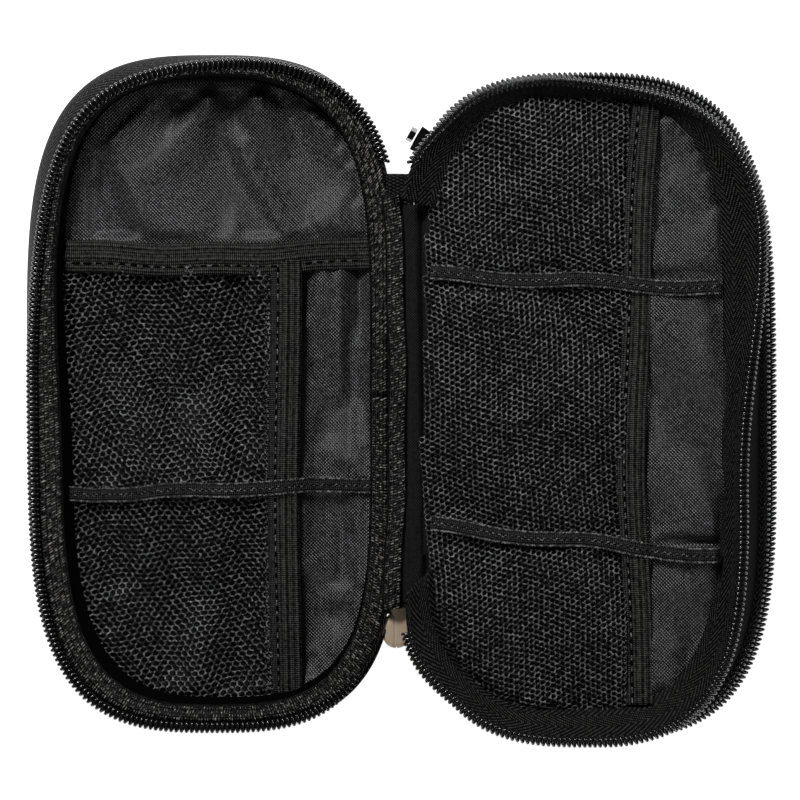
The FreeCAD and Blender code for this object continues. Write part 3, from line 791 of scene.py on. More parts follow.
def net(name, inside, x_range, y_range, pitch, hole, field, lift, warp, turn, squash):
    """Knitted net: a lattice of six-sided cells, each with a hole.

    The lattice is turned by an angle, and squash makes its cells lower than they are wide. It also
    gives the area of the flat cut in square metres, holes included.
    """
    centre = np.array([sum(x_range) / 2, sum(y_range) / 2])
    reach = 0.55 * math.hypot(x_range[1] - x_range[0], y_range[1] - y_range[0])
    across = np.array([math.cos(turn), math.sin(turn)])
    along = np.array([-math.sin(turn), math.cos(turn)])
    rise = pitch * ROW_RISE * squash
    corner_angle = np.radians(np.arange(6) * 60 + 30)
    corners = np.column_stack([np.cos(corner_angle), squash * np.sin(corner_angle)])
    corners = corners * pitch / SIDE_TO_PITCH
    index = {}
    points = []
    faces = []
    cells = 0
    for r in range(-int(reach / rise), int(reach / rise) + 1):
        for c in range(-int(reach / pitch), int(reach / pitch) + 1):
            cell = np.array([(c + 0.5 * (r % 2)) * pitch, r * rise])
            x, y = centre + across * cell[0] + along * cell[1]
            if not inside(x, y):
                continue
            cells += 1
            outer, inner = [], []
            for corner in cell + corners:
                key = (round(corner[0] * 40), round(corner[1] * 40))
                if key not in index:
                    index[key] = len(points)
                    points.append(corner)
                outer.append(index[key])
            for corner in cell + corners * hole:
                inner.append(len(points))
                points.append(corner)
            for k in range(6):
                m = (k + 1) % 6
                faces.append((outer[k], outer[m], inner[m], inner[k]))
    points = np.array(points)
    flat = warp(centre + points[:, :1] * across + points[:, 1:] * along)
    heights = field(flat[:, 0], flat[:, 1]) + lift
    mesh = new_object(name, np.column_stack([flat, heights]), faces, flat)
    return mesh, cells * pitch * rise * 1e-6


def finish_net(made, thickness, body, replaces):
    mesh, cut_area = made
    solidify(mesh, thickness)
    finish_piece(mesh, "mesh", body, replaces)
    declare_cloth(mesh, cut_area)


def upright_hem_stitches(half, path, aside, body):
    """Stitches along an upright hem, and painted shade in the dimples between them."""
    dashes(half + "_hem_stitches", "thread", body, path + [aside, 0, 0.1],
           0.6, 1.9, 1.3, 0.2)
    # Dark dashes in the dimples between the stitches: painted shade.
    dashes(half + "_hem_stitch_gaps", "deep_shade", body, path + [aside, 1.6, 0],
           0.5, 1.2, 2.0, 0.4)


# Width of the divider ribbons, and the steps of their twisted thread and picot loops.
RIBBON_WIDTH = 3.5
TWIST_STEP = 1.9
PICOT_STEP = 0.95


def ribbon(name, path, body, replaces):
    """Narrow divider ribbon with looped picot edges and a twisted row of stitches."""
    dense, length = resample(path, 420)
    band(name, dense, RIBBON_WIDTH, 2, 0.18, 0.45, "ribbon", body, replaces)
    side = frames_along(dense)[0]
    places = np.linspace(0, length, len(dense))

    def beside(along, out):
        line = np.stack([np.interp(along, places, dense[:, k]) for k in range(3)], 1)
        aside = np.stack([np.interp(along, places, side[:, k]) for k in range(3)], 1)
        return line + aside * out[:, None] + [0, 0, 0.7]
    threads = Pile()
    for i in range(int(length / TWIST_STEP)):
        turn = np.linspace(0, 1, 7)
        slip = (i + 0.1 + 0.8 * turn) * TWIST_STEP
        threads.add(*tube(beside(slip, 0.4 * np.sin(2 * math.pi * turn)), 0.15, 5))
    for sign in (-1, 1):
        for i in range(int(length / PICOT_STEP)):
            turn = np.linspace(0, math.pi, 6)
            slip = (i + 0.5 - 0.36 * np.cos(turn)) * PICOT_STEP
            out = sign * (RIBBON_WIDTH / 2 - 0.1 + 0.45 * np.sin(turn))
            threads.add(*tube(beside(slip, out), 0.2, 4))
    finish_piece(threads.build(name + "_threads"), "thread", body)
    # Dark dashes between the twisted stitches: painted shade.
    dashes(name + "_gaps", "deep_shade", body, dense, 0.5, 1.2, 0.7, 0.36)


# Inset and height of a moulded shell's rings, from its flat base to the foot of its wall.
MOULDED_BASE = ((30, 0.2), (16, 0.0), (9.5, 0.4), (6.0, 2.0), (3.0, 4.8))


def shell_uvs(rows):
    """Weave of a moulded shell: straight across the base and on down the walls."""
    uvs = []
    rise = np.zeros(len(rows[0]))
    for below, row in zip([rows[0]] + rows[:-1], rows):
        rise = rise + np.abs(row[:, 2] - below[:, 2])
        outward = row[:, :2] - np.mean(row[:, :2], axis=0)
        outward /= np.linalg.norm(outward, axis=1)[:, None] + 1e-9
        uvs.append(row[:, :2] + outward * rise[:, None])
    return np.concatenate(uvs)


def base_rows(ring, centre, level):
    """Rings that close a shell's base, from the middle out to its first ring."""
    rows = []
    for share in (0.001, 0.1, 0.2, 0.4, 0.6, 0.8):
        row = ring.copy()
        row[:, :2] = centre + (ring[:, :2] - centre) * share
        row[:, 2] = level
        rows.append(row)
    return rows


def moulded_shell(name, outline, base, wall, clamp, offset, body, replaces):
    """Shell of one cover: rounded base, bulging wall, and the seam where the tape starts."""
    theta = outline.thetas(RING_POINTS, closed=True)
    rows = []
    for inset, level in MOULDED_BASE + wall:
        row = outline.ring(theta, inset, base + level)
        row[:, 0] = clamp(row[:, 0])
        rows.append(row)
    rows = base_rows(rows[0], outline.centre, base + 0.2) + rows
    faces = grid_faces(len(rows), len(rows[0]), True)
    shell = new_object(name, np.concatenate(rows), faces, shell_uvs(rows))
    solidify(shell, 1.0, offset)
    finish_piece(shell, "shell", body, replaces)


# ---------------------------------------------------------------- front cover

# How far the cloth of a pocket panel runs on past the panel's outline.
PANEL_MARGIN = 2.5
hem_y = middle_of(hem_low, hem_high, 1)
front_hem_x = middle_of(front_hem_low, front_hem_high, 0)
front_ribbon_y = middle_of(front_ribbon_low, front_ribbon_high, 1)
front_coil_level = middle_of(front_coil_low, front_coil_high, 2)


def front_level(x, y):
    """Height at which the front panel's cloth hangs when flat."""
    return np.full(np.shape(x), hem_low[2])


def front_pins(x, y):
    """Seams that hold the front panel's cloth."""
    hem = near(y, hem_y, 3.2)
    ribbon_seam = near(y, front_ribbon_y, 1.6)
    upright = near(x, front_hem_x, 2.6) & (y < hem_low[1])
    return hem | ribbon_seam | upright


def front_creases(x, y):
    """Pleats that fan out from the top, a long crease, and upright folds below the hem."""
    top = front_panel.centre[1] + front_panel.half[1]
    middle = front_panel.centre[0] + 6
    depth = np.clip((top - y) / 50, 0, 1)
    above = y > hem_high[1]
    below = y < hem_low[1]
    fan = np.sin((x - middle) / (2.0 + 6 * depth)) * (1 - depth) * np.exp(-((x - middle) / 26) ** 2)
    slant = 2.4 * np.exp(-(((x - middle) + 0.6 * (y - top + 20)) / 4.0) ** 2) * above
    broad = 1.7 * np.sin((x + 0.5 * y) / 9) * above
    upright = 1.5 * np.sin(x / 3.4 + 0.9 * np.sin(y / 23)) * below
    tight = 1.6 * np.sin(x / 1.5 + np.sin(y / 7)) * np.exp(-np.maximum(hem_low[1] - y, 0) / 20) * below
    valley_x = front_panel_high[0] - 6.5 + 1.5 * np.sin(y / 26)
    valley = -2.2 * np.exp(-((x - valley_x) / 2.0) ** 2) * below
    far_side = -2.6 * np.exp(-((x - front_panel_low[0] - 9 + 0.4 * (y - 60)) / 5) ** 2) * above
    return 3.6 * fan + slant + broad + upright + tight + valley + far_side


def front_rim_level(field):
    """Heights of the front panel's cloth, turned up at its rim and most beside the hinge."""
    def level(x, y):
        u = np.abs(x - front_panel.centre[0]) / front_panel.half[0]
        v = np.abs(y - front_panel.centre[1]) / front_panel.half[1]
        rise = np.clip((u ** 3 + v ** 4 - 0.8) / 0.4, 0, 1)
        hinge_side = np.clip((x - front_panel.centre[0]) / front_panel.half[0], 0, 1) ** 4
        return field(x, y) + rise * (1.0 + 3.0 * hinge_side)
    return level


# Compass angle of the stretch where the front coil is tucked in, and how far it spreads.
TUCK = (-150, 34)


def front_zip():
    """The front cover's coil, tucked in at its lower end, and the tape skirt below it."""
    theta = front_leaf.thetas(RING_POINTS, reach=hinge_gap)
    path = front_leaf.ring(theta, lambda a: front_coil_inset(a) + 2.6 * bump(a, *TUCK),
                           front_coil_level)
    path[:, 2] -= 3.2 * bump(front_leaf.flat(theta)[2], *TUCK)
    coil("front_zip_coil_turns", path + [0, 0, 0.5], "front_cover", ["front_zip_coil"], 1.3, 0.6, 0.5)
    foot = front_leaf.ring(theta, 0.6, front_shell_high[2] + 1.4)
    rim = front_leaf.ring(theta, lambda a: front_coil_inset(a) - 0.5, front_coil_level - 0.7)
    cloth_piece("front_zip_skirt", loft(foot, rim, 6, -0.6), TAPE_CLOTH, "outer_tape",
                "front_cover", ["front_zip_tape"])


def front_rim():
    """Inside the coil: a little tape, the seam binding, and a wall down to the panel."""
    theta = front_leaf.thetas(560, closed=True)
    angle = front_leaf.flat(theta)[2]
    outer = front_leaf.ring(theta, lambda a: front_coil_inset(a) + 1.3 - 1.3 * bump(a, 180, 72),
                            lambda a: front_coil_level - 0.9 + 1.5 * bump(a, 180, 72))
    outer[:, 0] = np.minimum(outer[:, 0], -hinge_gap + 1.0)
    inner = front_panel.ring(theta, -0.2, hem_low[2] - 0.4)
    open_up = (0.8 * bump(angle, 60, 75))[:, None]
    inner[:, :2] = inner[:, :2] * (1 - open_up) + outer[:, :2] * open_up
    fold = 0.62 + 0.42 * bump(angle, 180, 95) + 0.1 * bump(angle, -90, 50)
    wall_foot = np.maximum(fold + 0.08, 0.94)

    def row(t, lift, drop):
        """A row t of the way from the coil to the panel, at a share of the drop."""
        t = np.broadcast_to(t, angle.shape)[:, None]
        line = outer * (1 - t) + inner * t
        line[:, 2] = outer[:, 2] + (inner[:, 2] - outer[:, 2]) * drop + lift
        return line
    steps = np.linspace(0, 1, 10)
    tape = [row(0.16 * t - 0.1, -0.4 * t, 0) for t in np.linspace(0, 1, 4)]
    binding = [row(0.06 + (fold - 0.06) * t, 1.3 * math.sin(math.pi * t) ** 0.7, 0.2 * t)
               for t in steps]
    wall = [row(fold - 0.04 + (wall_foot - fold) * t, 0, 0.18 + 0.82 * t ** 0.8) for t in steps]
    cloth_piece("front_zip_tape_cloth", tape, 0.4, "tape", "front_cover", wrap=True)
    cloth_piece("front_binding_tape", binding, 0.5, "binding", "front_cover",
                ["front_seam_binding"], wrap=True)
    knitted_stitches("front_binding_stitches", "front_cover", binding, 0.78, 0.7)
    # The wall under the coil takes the darkest copy of the nylon: painted shade.
    cloth_piece("front_rim_wall", wall, 0.4, "deep_shade", "front_cover", wrap=True)


def front_linings(level):
    """Lining in the open part above the hem, the cloth under the pockets, and the slip pocket."""
    x_range, y_range = panel_ranges(front_panel, PANEL_MARGIN)
    open_margin = 9.0

    def within(x, y):
        return front_panel.inside(x, y, PANEL_MARGIN)

    def roomy(x, y):
        open_part = (y > hem_y) & (x < x_range[1] - 6)
        return front_panel.inside(x, y, np.where(open_part, open_margin, PANEL_MARGIN))
    shaded_lining = cloth_area("front_lining_cloth", (x_range[0] - open_margin, x_range[1]),
                        (hem_y - 4, y_range[1] + open_margin), level, -1.2, 0.9, roomy)
    lining_sheet(shaded_lining, LINING_CLOTH, "nylon", "front_cover", ["front_lining"])
    back = cloth_area("front_pocket_back_cloth", x_range, (y_range[0], hem_y), level, -2.4, 1.5,
                      within)
    # The cloth under the mesh pocket takes the darker copy of the nylon: painted shade.
    lining_sheet(back, LINING_CLOTH, "shaded_lining", "front_cover", ())
    slip = cloth_area("front_slip_cloth", (front_hem_low[0] - 1, x_range[1]), (y_range[0], hem_y),
                      level, 0.0, 0.9, within)
    lining_sheet(slip, SLIP_CLOTH, "nylon", "front_cover", ["front_slip_pocket"])


def front_net(level):
    """Mesh pocket of the front cover."""
    x_range, y_range = panel_ranges(front_panel, PANEL_MARGIN)
    right = front_hem_low[0] + 1.5

    def inside(x, y):
        return front_panel.inside(x, y, 6.4) and x < right and y < hem_y - 1

    def warp(p):
        x, y = p[:, 0], p[:, 1]
        strain = 0.7 + 0.9 * np.exp(-((y - front_ribbon_high[1] - 14) / 16) ** 2)
        return np.column_stack([x + strain * (0.6 * np.sin(y / 8) + 0.45 * np.sin(y / 3.4 + x / 5)),
                                y + strain * (0.7 * np.sin(x / 7 + 1) + 0.5 * np.sin(x / 2.9 + y / 7))])
    made = net("front_mesh_net", inside, (x_range[0], right), (y_range[0], hem_y), 2.15, 0.78,
               level, 0.8, warp, 0.12, 0.8)
    finish_net(made, 0.34, "front_cover", ["front_mesh_pocket"])


def front_upright_hem(field):
    """Elastic hem of the front mesh pocket, with its fold and stitches."""
    ys = np.linspace(reach_up(front_panel, front_hem_x)[0] - 1, hem_low[1] + 1, 150)
    xs = front_hem_x + 0.5 * np.sin(ys / 21)
    path = line_of(xs, ys, field(xs, ys) + 1.5 + 0.15 * np.sin(ys / 2.3))
    band("front_mesh_hem", path + [1.6, 0, 0.2], 5.6, 5, 0.16, 0.9, "elastic",
         "front_cover", ["front_mesh_elastic"])
    band("front_mesh_hem_fold", path + [-2.6, 0, 0], 3.2, 0, 0, 0.6, "ribbon",
         "front_cover")
    upright_hem_stitches("front", path, -2.2, "front_cover")


def front_pocket_hem(level):
    """Level elastic hem across the front cover, and the divider ribbon sewn below it."""
    xs = np.linspace(front_panel.centre[0] - front_panel.half[0] - 3.2,
                     front_panel.centre[0] + front_panel.half[0] + 1.5, 200)
    span = (xs - xs[0]) / (xs[-1] - xs[0])
    ys = hem_y + (-1.9 * np.sin(math.pi * span) ** 0.8 + 1.2 * span + 0.3 * np.sin(xs / 5) + 0.3)
    path = line_of(xs, ys, level(xs, ys) + 1.6)
    band("front_pocket_hem", path, 5.4, 3, 0.25, 0.9, "elastic", "front_cover",
         ["front_pocket_elastic"])
    band("front_pocket_hem_fold", path + [0, -4.2, -0.3], 3.4, 2, 0.2, 0.6, "elastic",
         "front_cover")
    dashes("front_pocket_stitches", "thread", "front_cover", path + [0, -3.6, 0.2],
           0.1, 1.9, 1.5, 0.2)
    # Dark dashes in the dimples between the stitches: painted shade.
    dashes("front_pocket_stitch_gaps", "deep_shade", "front_cover",
           path + [1.7, -3.6, 0.2], 0.1, 1.3, 2.1, 0.4)
    ys = front_ribbon_y + (-1.4 + 3.6 * np.abs(span - 0.08) ** 0.9 + 0.4 * np.sin(xs / 6))
    over_hem = 1.1 * np.exp(-((xs - front_hem_x) / 5) ** 2)
    ribbon("front_ribbon", line_of(xs, ys, level(xs, ys) + 2.3 + over_hem), "front_cover",
           ["front_divider_ribbon"])


def build_front():
    field = settle_cloth("front_settling", front_panel, front_pins, front_level, 0.02, front_creases)
    level = front_rim_level(field)
    top = front_shell_high[2]
    wall = ((1.2, 8.0), (0.3, 11.5), (0.5, top + 0.6), (1.6, top + 1.6), (4.5, top + 0.4),
            (8.0, top - 1.0))
    moulded_shell("front_shell_cloth", front_leaf, front_shell_low[2], wall,
                  lambda x: np.minimum(x, -hinge_gap), 1.0, "front_cover",
                  ["front_shell", "front_foam"])
    front_zip()
    front_rim()
    front_linings(level)
    front_net(level)
    front_upright_hem(field)
    front_pocket_hem(level)


# ---------------------------------------------------------------- main half

# Height of the divider, on which the main half's pockets lie.
divider_level = main_hem_low[2]
main_hem_x = middle_of(main_hem_low, main_hem_high, 0)
main_open = main_leaf.thetas(RING_POINTS, reach=hinge_gap)
main_coil_level = middle_of(main_coil_low, main_coil_high, 2)
main_coil_path = main_leaf.ring(main_open, main_coil_inset, main_coil_level)


def main_pins(x, y):
    """Seams that hold the divider's cloth."""
    upper = near(y, middle_of(ribbon_up_low, ribbon_up_high, 1), 1.6)
    lower = near(y, middle_of(ribbon_down_low, ribbon_down_high, 1), 1.6)
    return upper | lower | near(x, main_hem_x, 2.6)


def main_creases(x, y):
    """Slanting creases that run in from the hem and the ribbons."""
    slant = 1.6 * np.sin((x + 0.8 * y) / 7 + 0.7 * np.sin(y / 17))
    cross = 1.0 * np.sin((x - 0.7 * y) / 9 + 1.2)
    return -(slant + cross + 1.0)


def main_zip():
    """The main zip's inner tape, sloping up from the divider, and its coil."""
    theta = main_leaf.thetas(460, reach=hinge_gap / 2)
    foot = main_panel.ring(theta, 0.8, divider_level + 0.4)
    rim = main_leaf.ring(theta, lambda a: main_coil_inset(a) + 0.3, main_coil_level + 0.9)
    cloth_piece("main_zip_tape_cloth", loft(foot, rim, 10, 0.5), TAPE_CLOTH, "tape",
                "main_half", ["main_zip_tape"])
    coil("main_zip_coil_turns", main_coil_path + [0, 0, 0.4], "main_half", ["main_zip_coil"])


def main_gusset():
    """Gusset between the two zips, with the rear zip's upper tape and both its coils."""
    upper_level = middle_of(upper_coil_low, upper_coil_high, 2)
    lower_level = middle_of(rear_coil_low, rear_coil_high, 2)
    foot = main_leaf.ring(main_open, 4.4, upper_level + 0.6)
    # The gusset takes the darkest copy of the nylon: painted shade on the upright strip.
    cloth_piece("main_gusset_cloth", loft(foot, main_coil_path - [0, 0, 0.4], 8, -0.8), 0.6,
                "deep_shade", "main_half", ["main_gusset"])
    lip = loft(main_leaf.ring(main_open, 7.5, upper_level + 1.4),
               main_leaf.ring(main_open, 2.5, upper_level + 0.9), 4)
    cloth_piece("rear_tape_upper_cloth", lip, TAPE_CLOTH, "tape", "main_half",
                ["rear_zip_tape_upper"])
    coil("rear_zip_coil_upper_turns", main_leaf.ring(main_open, 2.9, upper_level + 0.4),
         "main_half", ["rear_zip_coil_upper"], 1.1, 0.6, 0.42, lean=-0.5)
    coil("rear_zip_coil_lower_turns", main_leaf.ring(main_open, 0.9, lower_level + 0.2),
         "rear_cover", ["rear_zip_coil_lower"], 1.1, 0.6, 0.42, phase=0.5, lean=0.3)


def divider_linings(level):
    """Divider lining, the cloth behind the mesh pocket, and the slip panel beside it."""
    x_range, y_range = panel_ranges(main_panel, PANEL_MARGIN)

    def within(x, y):
        return main_panel.inside(x, y, PANEL_MARGIN)

    def flat_level(x, y):
        return np.full(np.shape(x), divider_level - 1.2)
    shaded_lining = cloth_area("divider_lining_cloth", x_range, y_range, flat_level, 0.0, 2.5, within)
    # Darker copy of the nylon under the pockets: painted shade.
    lining_sheet(shaded_lining, LINING_CLOTH, "shaded_lining", "main_half",
                 ["divider_lining", "divider_board", "divider_back_lining"])
    under = cloth_area("divider_slip_behind_mesh", (x_range[0], main_hem_low[0]), y_range, level,
                       -0.3, 0.9, within)
    # Darker copy of the nylon behind the mesh: painted shade.
    lining_sheet(under, SLIP_CLOTH, "shaded_lining", "main_half", ())
    slip = cloth_area("divider_slip_cloth", (main_hem_low[0], x_range[1]), y_range, level, 0.0,
                      0.9, within)
    lining_sheet(slip, SLIP_CLOTH, "nylon", "main_half", ["divider_slip_panel"])


def divider_net(level):
    """Mesh pocket of the divider."""
    x_range, y_range = panel_ranges(main_panel, PANEL_MARGIN)
    right = main_hem_low[0] + 1.0

    def inside(x, y):
        return main_panel.inside(x, y, 1.5) and x < right

    def warp(p):
        x, y = p[:, 0], p[:, 1]
        return np.column_stack([x + 0.5 * np.sin(y / 11) + 0.12 * np.sin(y / 4.1 + x / 5),
                                y + 0.7 * np.sin(x / 8 + 2) + 0.12 * np.sin(x / 3.3 + y / 7)])
    made = net("divider_mesh_net", inside, (x_range[0], right), y_range, 1.8, 0.77, level, 0.9,
               warp, 0.65, 0.85)
    finish_net(made, 0.3, "main_half", ["divider_mesh_pocket"])


def divider_hem(field):
    """Upright elastic hem of the divider's mesh pocket, with its fold and stitches."""
    ys = np.linspace(*reach_up(main_panel, main_hem_x), 190)
    xs = main_hem_x - 2.0 + 3.0 * (np.abs(ys + 8) / 85) ** 1.6 + 0.4 * np.sin(ys / 13)
    path = line_of(xs, ys, field(xs, ys) + 1.6 + 0.15 * np.sin(ys / 2.7))
    band("divider_mesh_hem", path + [1.4, 0, 0.1], 4.6, 4, 0.18, 0.9, "elastic",
         "main_half", ["divider_mesh_elastic"])
    band("divider_mesh_hem_fold", path + [-2.2, 0, 0], 2.8, 0, 0, 0.6, "elastic",
         "main_half")
    upright_hem_stitches("divider", path, -1.9, "main_half")


def divider_ribbon(name, low, high, drop, node, level):
    """Ribbon across the divider that falls by a drop from left to right."""
    middle = middle_of(low, high, 1)
    left, right = reach_across(main_panel, middle)
    xs = np.linspace(left, right - 1.8, 200)
    span = (xs - xs[0]) / (xs[-1] - xs[0])
    ys = middle - drop / 2 + drop * span + 0.7 * np.sin(xs / 7)
    over_hem = 1.1 * np.exp(-((xs - main_hem_x + 1) / 5) ** 2)
    zs = level(xs, ys) + 2.2 + 0.4 * np.sin(xs / 3.1) + over_hem
    ribbon(name, line_of(xs, ys, zs), "main_half", [node])


def build_main():
    field = settle_cloth("main_settling", main_panel, main_pins,
                         lambda x, y: np.full(np.shape(x), divider_level + 0.6), 0.012,
                         main_creases, -1.0)

    def level(x, y):
        return np.maximum(field(x, y), divider_level - 0.2)
    main_zip()
    main_gusset()
    divider_linings(level)
    divider_net(level)
    divider_hem(field)
    divider_ribbon("divider_ribbon_top", ribbon_up_low, ribbon_up_high, -4.0,
                   "divider_ribbon_upper", level)
    divider_ribbon("divider_ribbon_bottom", ribbon_down_low, ribbon_down_high, -9.0,
                   "divider_ribbon_lower", level)


# ---------------------------------------------------------------- rear cover

# The rear cover ends here beside the hinge.
rear_edge = rear_shell_low[0]
rear_rings = main_leaf.thetas(300, closed=True)


def rear_lining():
    """Dished lining of the rear cover, from its rim in to the middle."""
    low, high = node_box("rear_lining")
    floor_level = low[2] + 0.9
    rows = []
    for t in np.linspace(0, 1, 40):
        ring = main_leaf.ring(rear_rings, 3.4 + 1.8 * t, floor_level)
        ring[:, 0] = np.maximum(ring[:, 0], rear_edge + 1.0)
        ring[:, :2] = main_leaf.centre + (ring[:, :2] - main_leaf.centre) * (1 - t) ** 0.9
        x, y = ring[:, 0], ring[:, 1]
        rim = np.clip(1 - t / 0.08, 0, 1) ** 2
        crease = 0.5 * np.sin(x / 6 + y / 9) * np.sin(y / 14) * min(1, 4 * t)
        ring[:, 2] = floor_level + rim * (high[2] - floor_level) + np.clip(crease, -0.4, 1)
        rows.append(ring)
    points = np.concatenate(rows)
    shaded_lining = new_object("rear_lining_cloth", points, grid_faces(len(rows), len(rows[0]), True),
                        points[:, :2])
    lining_sheet(shaded_lining, SLIP_CLOTH, "nylon", "rear_cover", ["rear_lining"])


def rear_binding():
    """Seam binding round the rear cover's lining."""
    low, high = node_box("rear_seam_binding")
    width = 3.8
    rows = []
    for t in np.linspace(0, 1, 9):
        arch = math.sin(math.pi * t) ** 0.7 * (high[2] - low[2])
        row = main_leaf.ring(rear_rings, 3.6 + width * t, low[2] + arch)
        row[:, 0] = np.maximum(row[:, 0], rear_edge + 0.4 + width * t)
        rows.append(row)
    cloth_piece("rear_binding_tape", rows, 0.4, "binding", "rear_cover",
                ["rear_seam_binding"], wrap=True, offset=1.0)
    knitted_stitches("rear_binding_stitches", "rear_cover", rows, 0.9, 0.3)


def build_rear():
    top = rear_shell_high[2]
    wall = ((1.3, 8.0), (0.6, 11.5), (1.0, top + 0.6), (2.4, top + 1.4), (6, top + 0.4),
            (10.0, top - 1.0))
    moulded_shell("rear_shell_cloth", main_leaf, rear_shell_low[2], wall,
                  lambda x: np.maximum(x, rear_edge), -1.0, "rear_cover",
                  ["rear_shell", "rear_foam"])
    theta = main_leaf.thetas(RING_POINTS, reach=hinge_gap + 1.7)
    tape = loft(main_leaf.ring(theta, 2.0, top + 0.8),
                main_leaf.ring(theta, 1.2, rear_coil_low[2] + 0.3), 4)
    cloth_piece("rear_tape_lower_cloth", tape, TAPE_CLOTH, "tape", "rear_cover",
                ["rear_zip_tape_lower"])
    rear_lining()
    rear_binding()


# ---------------------------------------------------------------- spine and hinge

# Height of the spine's inner face.
spine_top = spine_high[2] + 1.0


def spine_outer():
    """Shell cloth down the outside of the spine."""
    ys = np.linspace(spine_low[1], spine_high[1] - 1, 120)
    rows = [line_of(x, ys, spine_top - 2.4) for x in np.linspace(spine_low[0], spine_high[0], 9)]
    cloth_piece("spine_outer_cloth", rows, 0.6, "shell", "spine", ["spine_outer"])


def spine_binding():
    """Arched binding tape down the spine, beside the front cover."""
    ys = np.linspace(spine_low[1], spine_high[1] - 7, 160)
    edge = spine_low[0] + 0.9 - 2.3 * (ys / spine_high[1]) ** 2 + 0.25 * np.sin(ys / 6)
    rows = []
    for t in np.linspace(0, 1, 11):
        lift = 1.5 * math.sin(math.pi * t) ** 0.6
        rows.append(line_of(edge + 5.0 * t, ys, spine_top - 0.6 + lift))
    cloth_piece("spine_binding_tape", rows, 0.5, "binding", "spine", ["spine_binding"])
    knitted_stitches("spine_binding_stitches", "spine", rows, 0.78, 0.7)


def spine_lining():
    """Lining across the hinge, from the spine to the divider."""
    ys = np.linspace(spine_low[1] + 2, spine_high[1] - 10, 140)
    start, end = 0.9, main_panel_low[0] + 2.5
    rows = []
    for t in np.linspace(0, 1, 25):
        valley = -1.3 * np.exp(-((t - 0.62 + 0.07 * np.sin(ys / 26)) / 0.1) ** 2)
        swell = 1.0 * math.sin(math.pi * t) ** 2 * (1 + 0.3 * np.sin(ys / 11))
        zs = spine_top - 0.9 + valley + swell + 0.8 * t
        rows.append(line_of(start + (end - start) * t, ys, zs))
    # The darker copy of the nylon: painted shade in the hinge.
    shaded_lining = cloth_piece("spine_lining_cloth", rows, LINING_CLOTH, "shaded_lining", None,
                         ["spine_lining", "hinge_lining"])
    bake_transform(shaded_lining)


def hinge_fold(name, body, x_range, y_start, reach, level):
    """Small fold of shell cloth that closes one corner of the hinge."""
    xs = np.linspace(*x_range, 24)
    rows = [line_of(xs, y_start + t * reach, level - 1.5 * t * t) for t in np.linspace(0, 1, 8)]
    # The fold takes the darkest copy of the nylon: painted shade.
    cloth_piece(name, rows, 0.5, "deep_shade", body)


def hinge_curtain(y_top, level):
    """Shell cloth that falls steeply from the hinge's end, below the pull's swing."""
    xs = np.linspace(spine_low[0] - 0.2, spine_high[0] - 0.2, 24)
    foot = 2.0
    rows = [line_of(xs, y_top - (5.6 * t + 2.4 * t ** 8), level - (level - foot) * t)
            for t in np.linspace(0, 1, 16)]
    # The curtain takes the darkest copy of the nylon: painted shade.
    cloth_piece("hinge_end_curtain", rows, 0.5, "deep_shade", "main_half")


def build_hinge_ends():
    """Folds that close the hinge behind the main pull and at its top."""
    under_slider = node_box("main_slider")[0][2] - 1.4
    main_side = (spine_high[0] + 0.1, main_panel_low[0] + 6)
    behind_pull = node_box("main_pull")[1][1] + 0.4
    hinge_fold("hinge_end_fold", "spine", (spine_low[0] - 1.8, spine_high[0] - 0.2),
               behind_pull + 5, -5.0, under_slider)
    hinge_curtain(behind_pull, under_slider)
    hinge_fold("hinge_corner_low", "main_half", main_side, spine_low[1] + 4, -8.5, under_slider)
    hinge_fold("hinge_corner_high", "main_half", main_side, spine_high[1] - 14, 9.0,
               spine_low[2] - 2.0)


def build_hinge_wall():
    """Upright wall of the hinge, with the soft waves of shell cloth."""
    low, high = node_box("hinge_wall")
    ys = np.linspace(low[1], high[1], 160)
    rows = []
    for t in np.linspace(0, 1, 14):
        wave = 0.25 * np.sin(ys / 7) * math.sin(math.pi * t)
        rows.append(line_of(middle_of(low, high, 0) + wave, ys, low[2] + t * (high[2] - low[2])))
    cloth_piece("hinge_wall_cloth", rows, 0.9, "shell", "main_half",
                ["hinge_wall"], offset=0)


# ---------------------------------------------------------------- fittings

def build_fittings():
    """Enamel on the sliders and the rear pull, and the main pull's leatherette tab."""
    for node in ("main_slider", "rear_slider", "rear_pull"):
        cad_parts[node].data.materials.clear()
        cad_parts[node].data.materials.append(materials["enamel"])
    low, high = node_box("main_pull")
    crease = low[0] + 0.36 * (high[0] - low[0])
    across = np.linspace(-1, 1, 41)
    rows = []
    for t in np.linspace(0, 1, 60):
        shoulder = np.clip((t - 0.38) / 0.24, 0, 1)
        half = 1.55 + 1.8 * shoulder * shoulder * (3 - 2 * shoulder)
        if t > 0.7:
            half *= math.sqrt(max(0.0, 1 - ((t - 0.7) / 0.3) ** 2))
        middle = middle_of(low, high, 0) + 0.5 - 1.0 * shoulder
        x = middle + half * across
        bevel = 0.5 * np.abs(across) ** 8 + 0.4 * max(0.0, (t - 0.9) / 0.1) ** 3
        groove = 1.0 * np.exp(-((x - crease) / 0.22) ** 2)
        rows.append(line_of(x, high[1] - t * (high[1] - low[1] - 0.9), high[2] - bevel - groove))
    cloth_piece("main_pull_tab", rows, high[2] - low[2] - 0.3, "pull", "main_pull",
                ["main_pull"])


# ---------------------------------------------------------------- studio

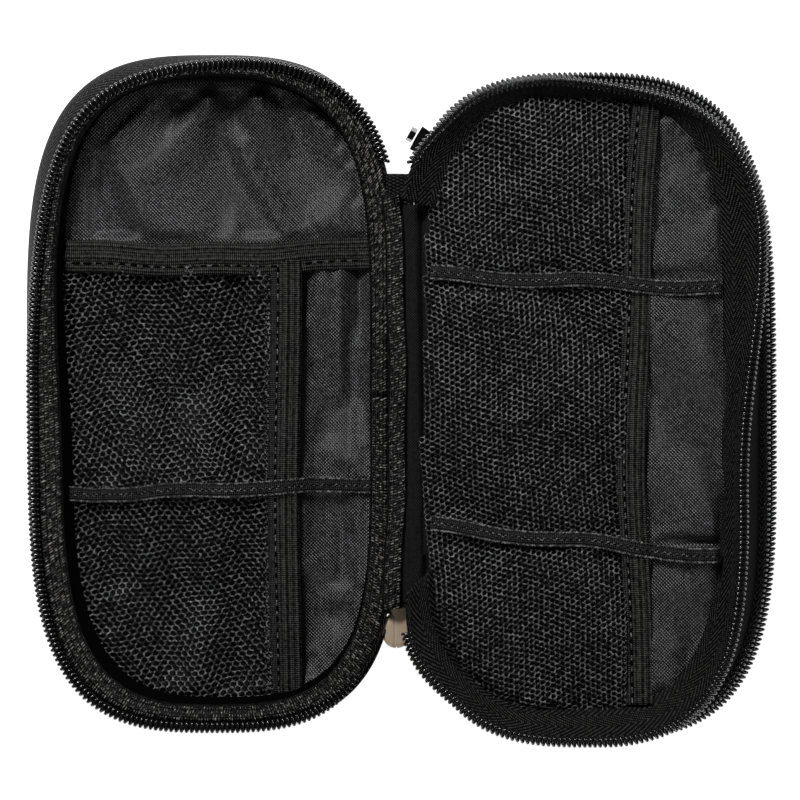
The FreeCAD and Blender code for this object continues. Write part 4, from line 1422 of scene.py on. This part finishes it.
def build_stage():
    """White floor that glows, so that it stays pale."""
    low, _ = cad_bounds
    size = 12.0
    glow = 0.95
    mesh = bpy.data.meshes.new("floor")
    mesh.from_pydata([(-size, -size, low.z), (size, -size, low.z), (size, size, low.z),
                      (-size, size, low.z)], [], [(0, 1, 2, 3)])
    floor = bpy.data.objects.new("floor", mesh)
    bpy.context.collection.objects.link(floor)
    material = bpy.data.materials.new("floor_white")
    material.use_nodes = True
    shader = material.node_tree.nodes["Principled BSDF"]
    shader.inputs["Base Color"].default_value = (0.93, 0.93, 0.93, 1)
    shader.inputs["Emission Color"].default_value = (1, 1, 1, 1)
    shader.inputs["Emission Strength"].default_value = glow
    shader.inputs["Roughness"].default_value = 0.9
    mesh.materials.append(material)


def add_light(name, place, size, power):
    """Round area light aimed at the origin."""
    light = bpy.data.lights.new(name, "AREA")
    light.shape = "DISK"
    light.size = size
    light.energy = power
    obj = bpy.data.objects.new(name, light)
    bpy.context.collection.objects.link(obj)
    obj.location = place
    obj.rotation_euler = (-Vector(place)).to_track_quat("-Z", "Y").to_euler()


def build_studio():
    """Dim white surroundings, three lights, and a camera above the part."""
    world = bpy.data.worlds.new("studio")
    world.use_nodes = True
    world.node_tree.nodes["Background"].inputs["Color"].default_value = (1, 1, 1, 1)
    world.node_tree.nodes["Background"].inputs["Strength"].default_value = 0.05
    bpy.context.scene.world = world
    add_light("key", (-0.3, 0.6, 0.7), 0.2, 5.0)
    add_light("side", (0.9, 0.3, 0.4), 0.16, 2.0)
    add_light("low", (-0.3, -0.9, 0.4), 0.16, 1.1)
    camera = bpy.data.cameras.new("camera")
    camera.lens = 169.5
    camera.sensor_width = 36
    obj = bpy.data.objects.new("camera", camera)
    bpy.context.collection.objects.link(obj)
    distance = 1.1
    tilt = math.radians(5)
    aim = Vector((0.0, 0.0, 0.022))
    obj.location = aim + Vector((0, math.sin(tilt), math.cos(tilt))) * distance
    obj.rotation_euler = (-tilt, 0, 0)
    bpy.context.scene.camera = obj
    bpy.context.scene.view_settings.view_transform = "Standard"


build_front()
build_main()
build_rear()
spine_outer()
spine_binding()
spine_lining()
build_hinge_ends()
build_hinge_wall()
build_fittings()
build_stage()
build_studio()
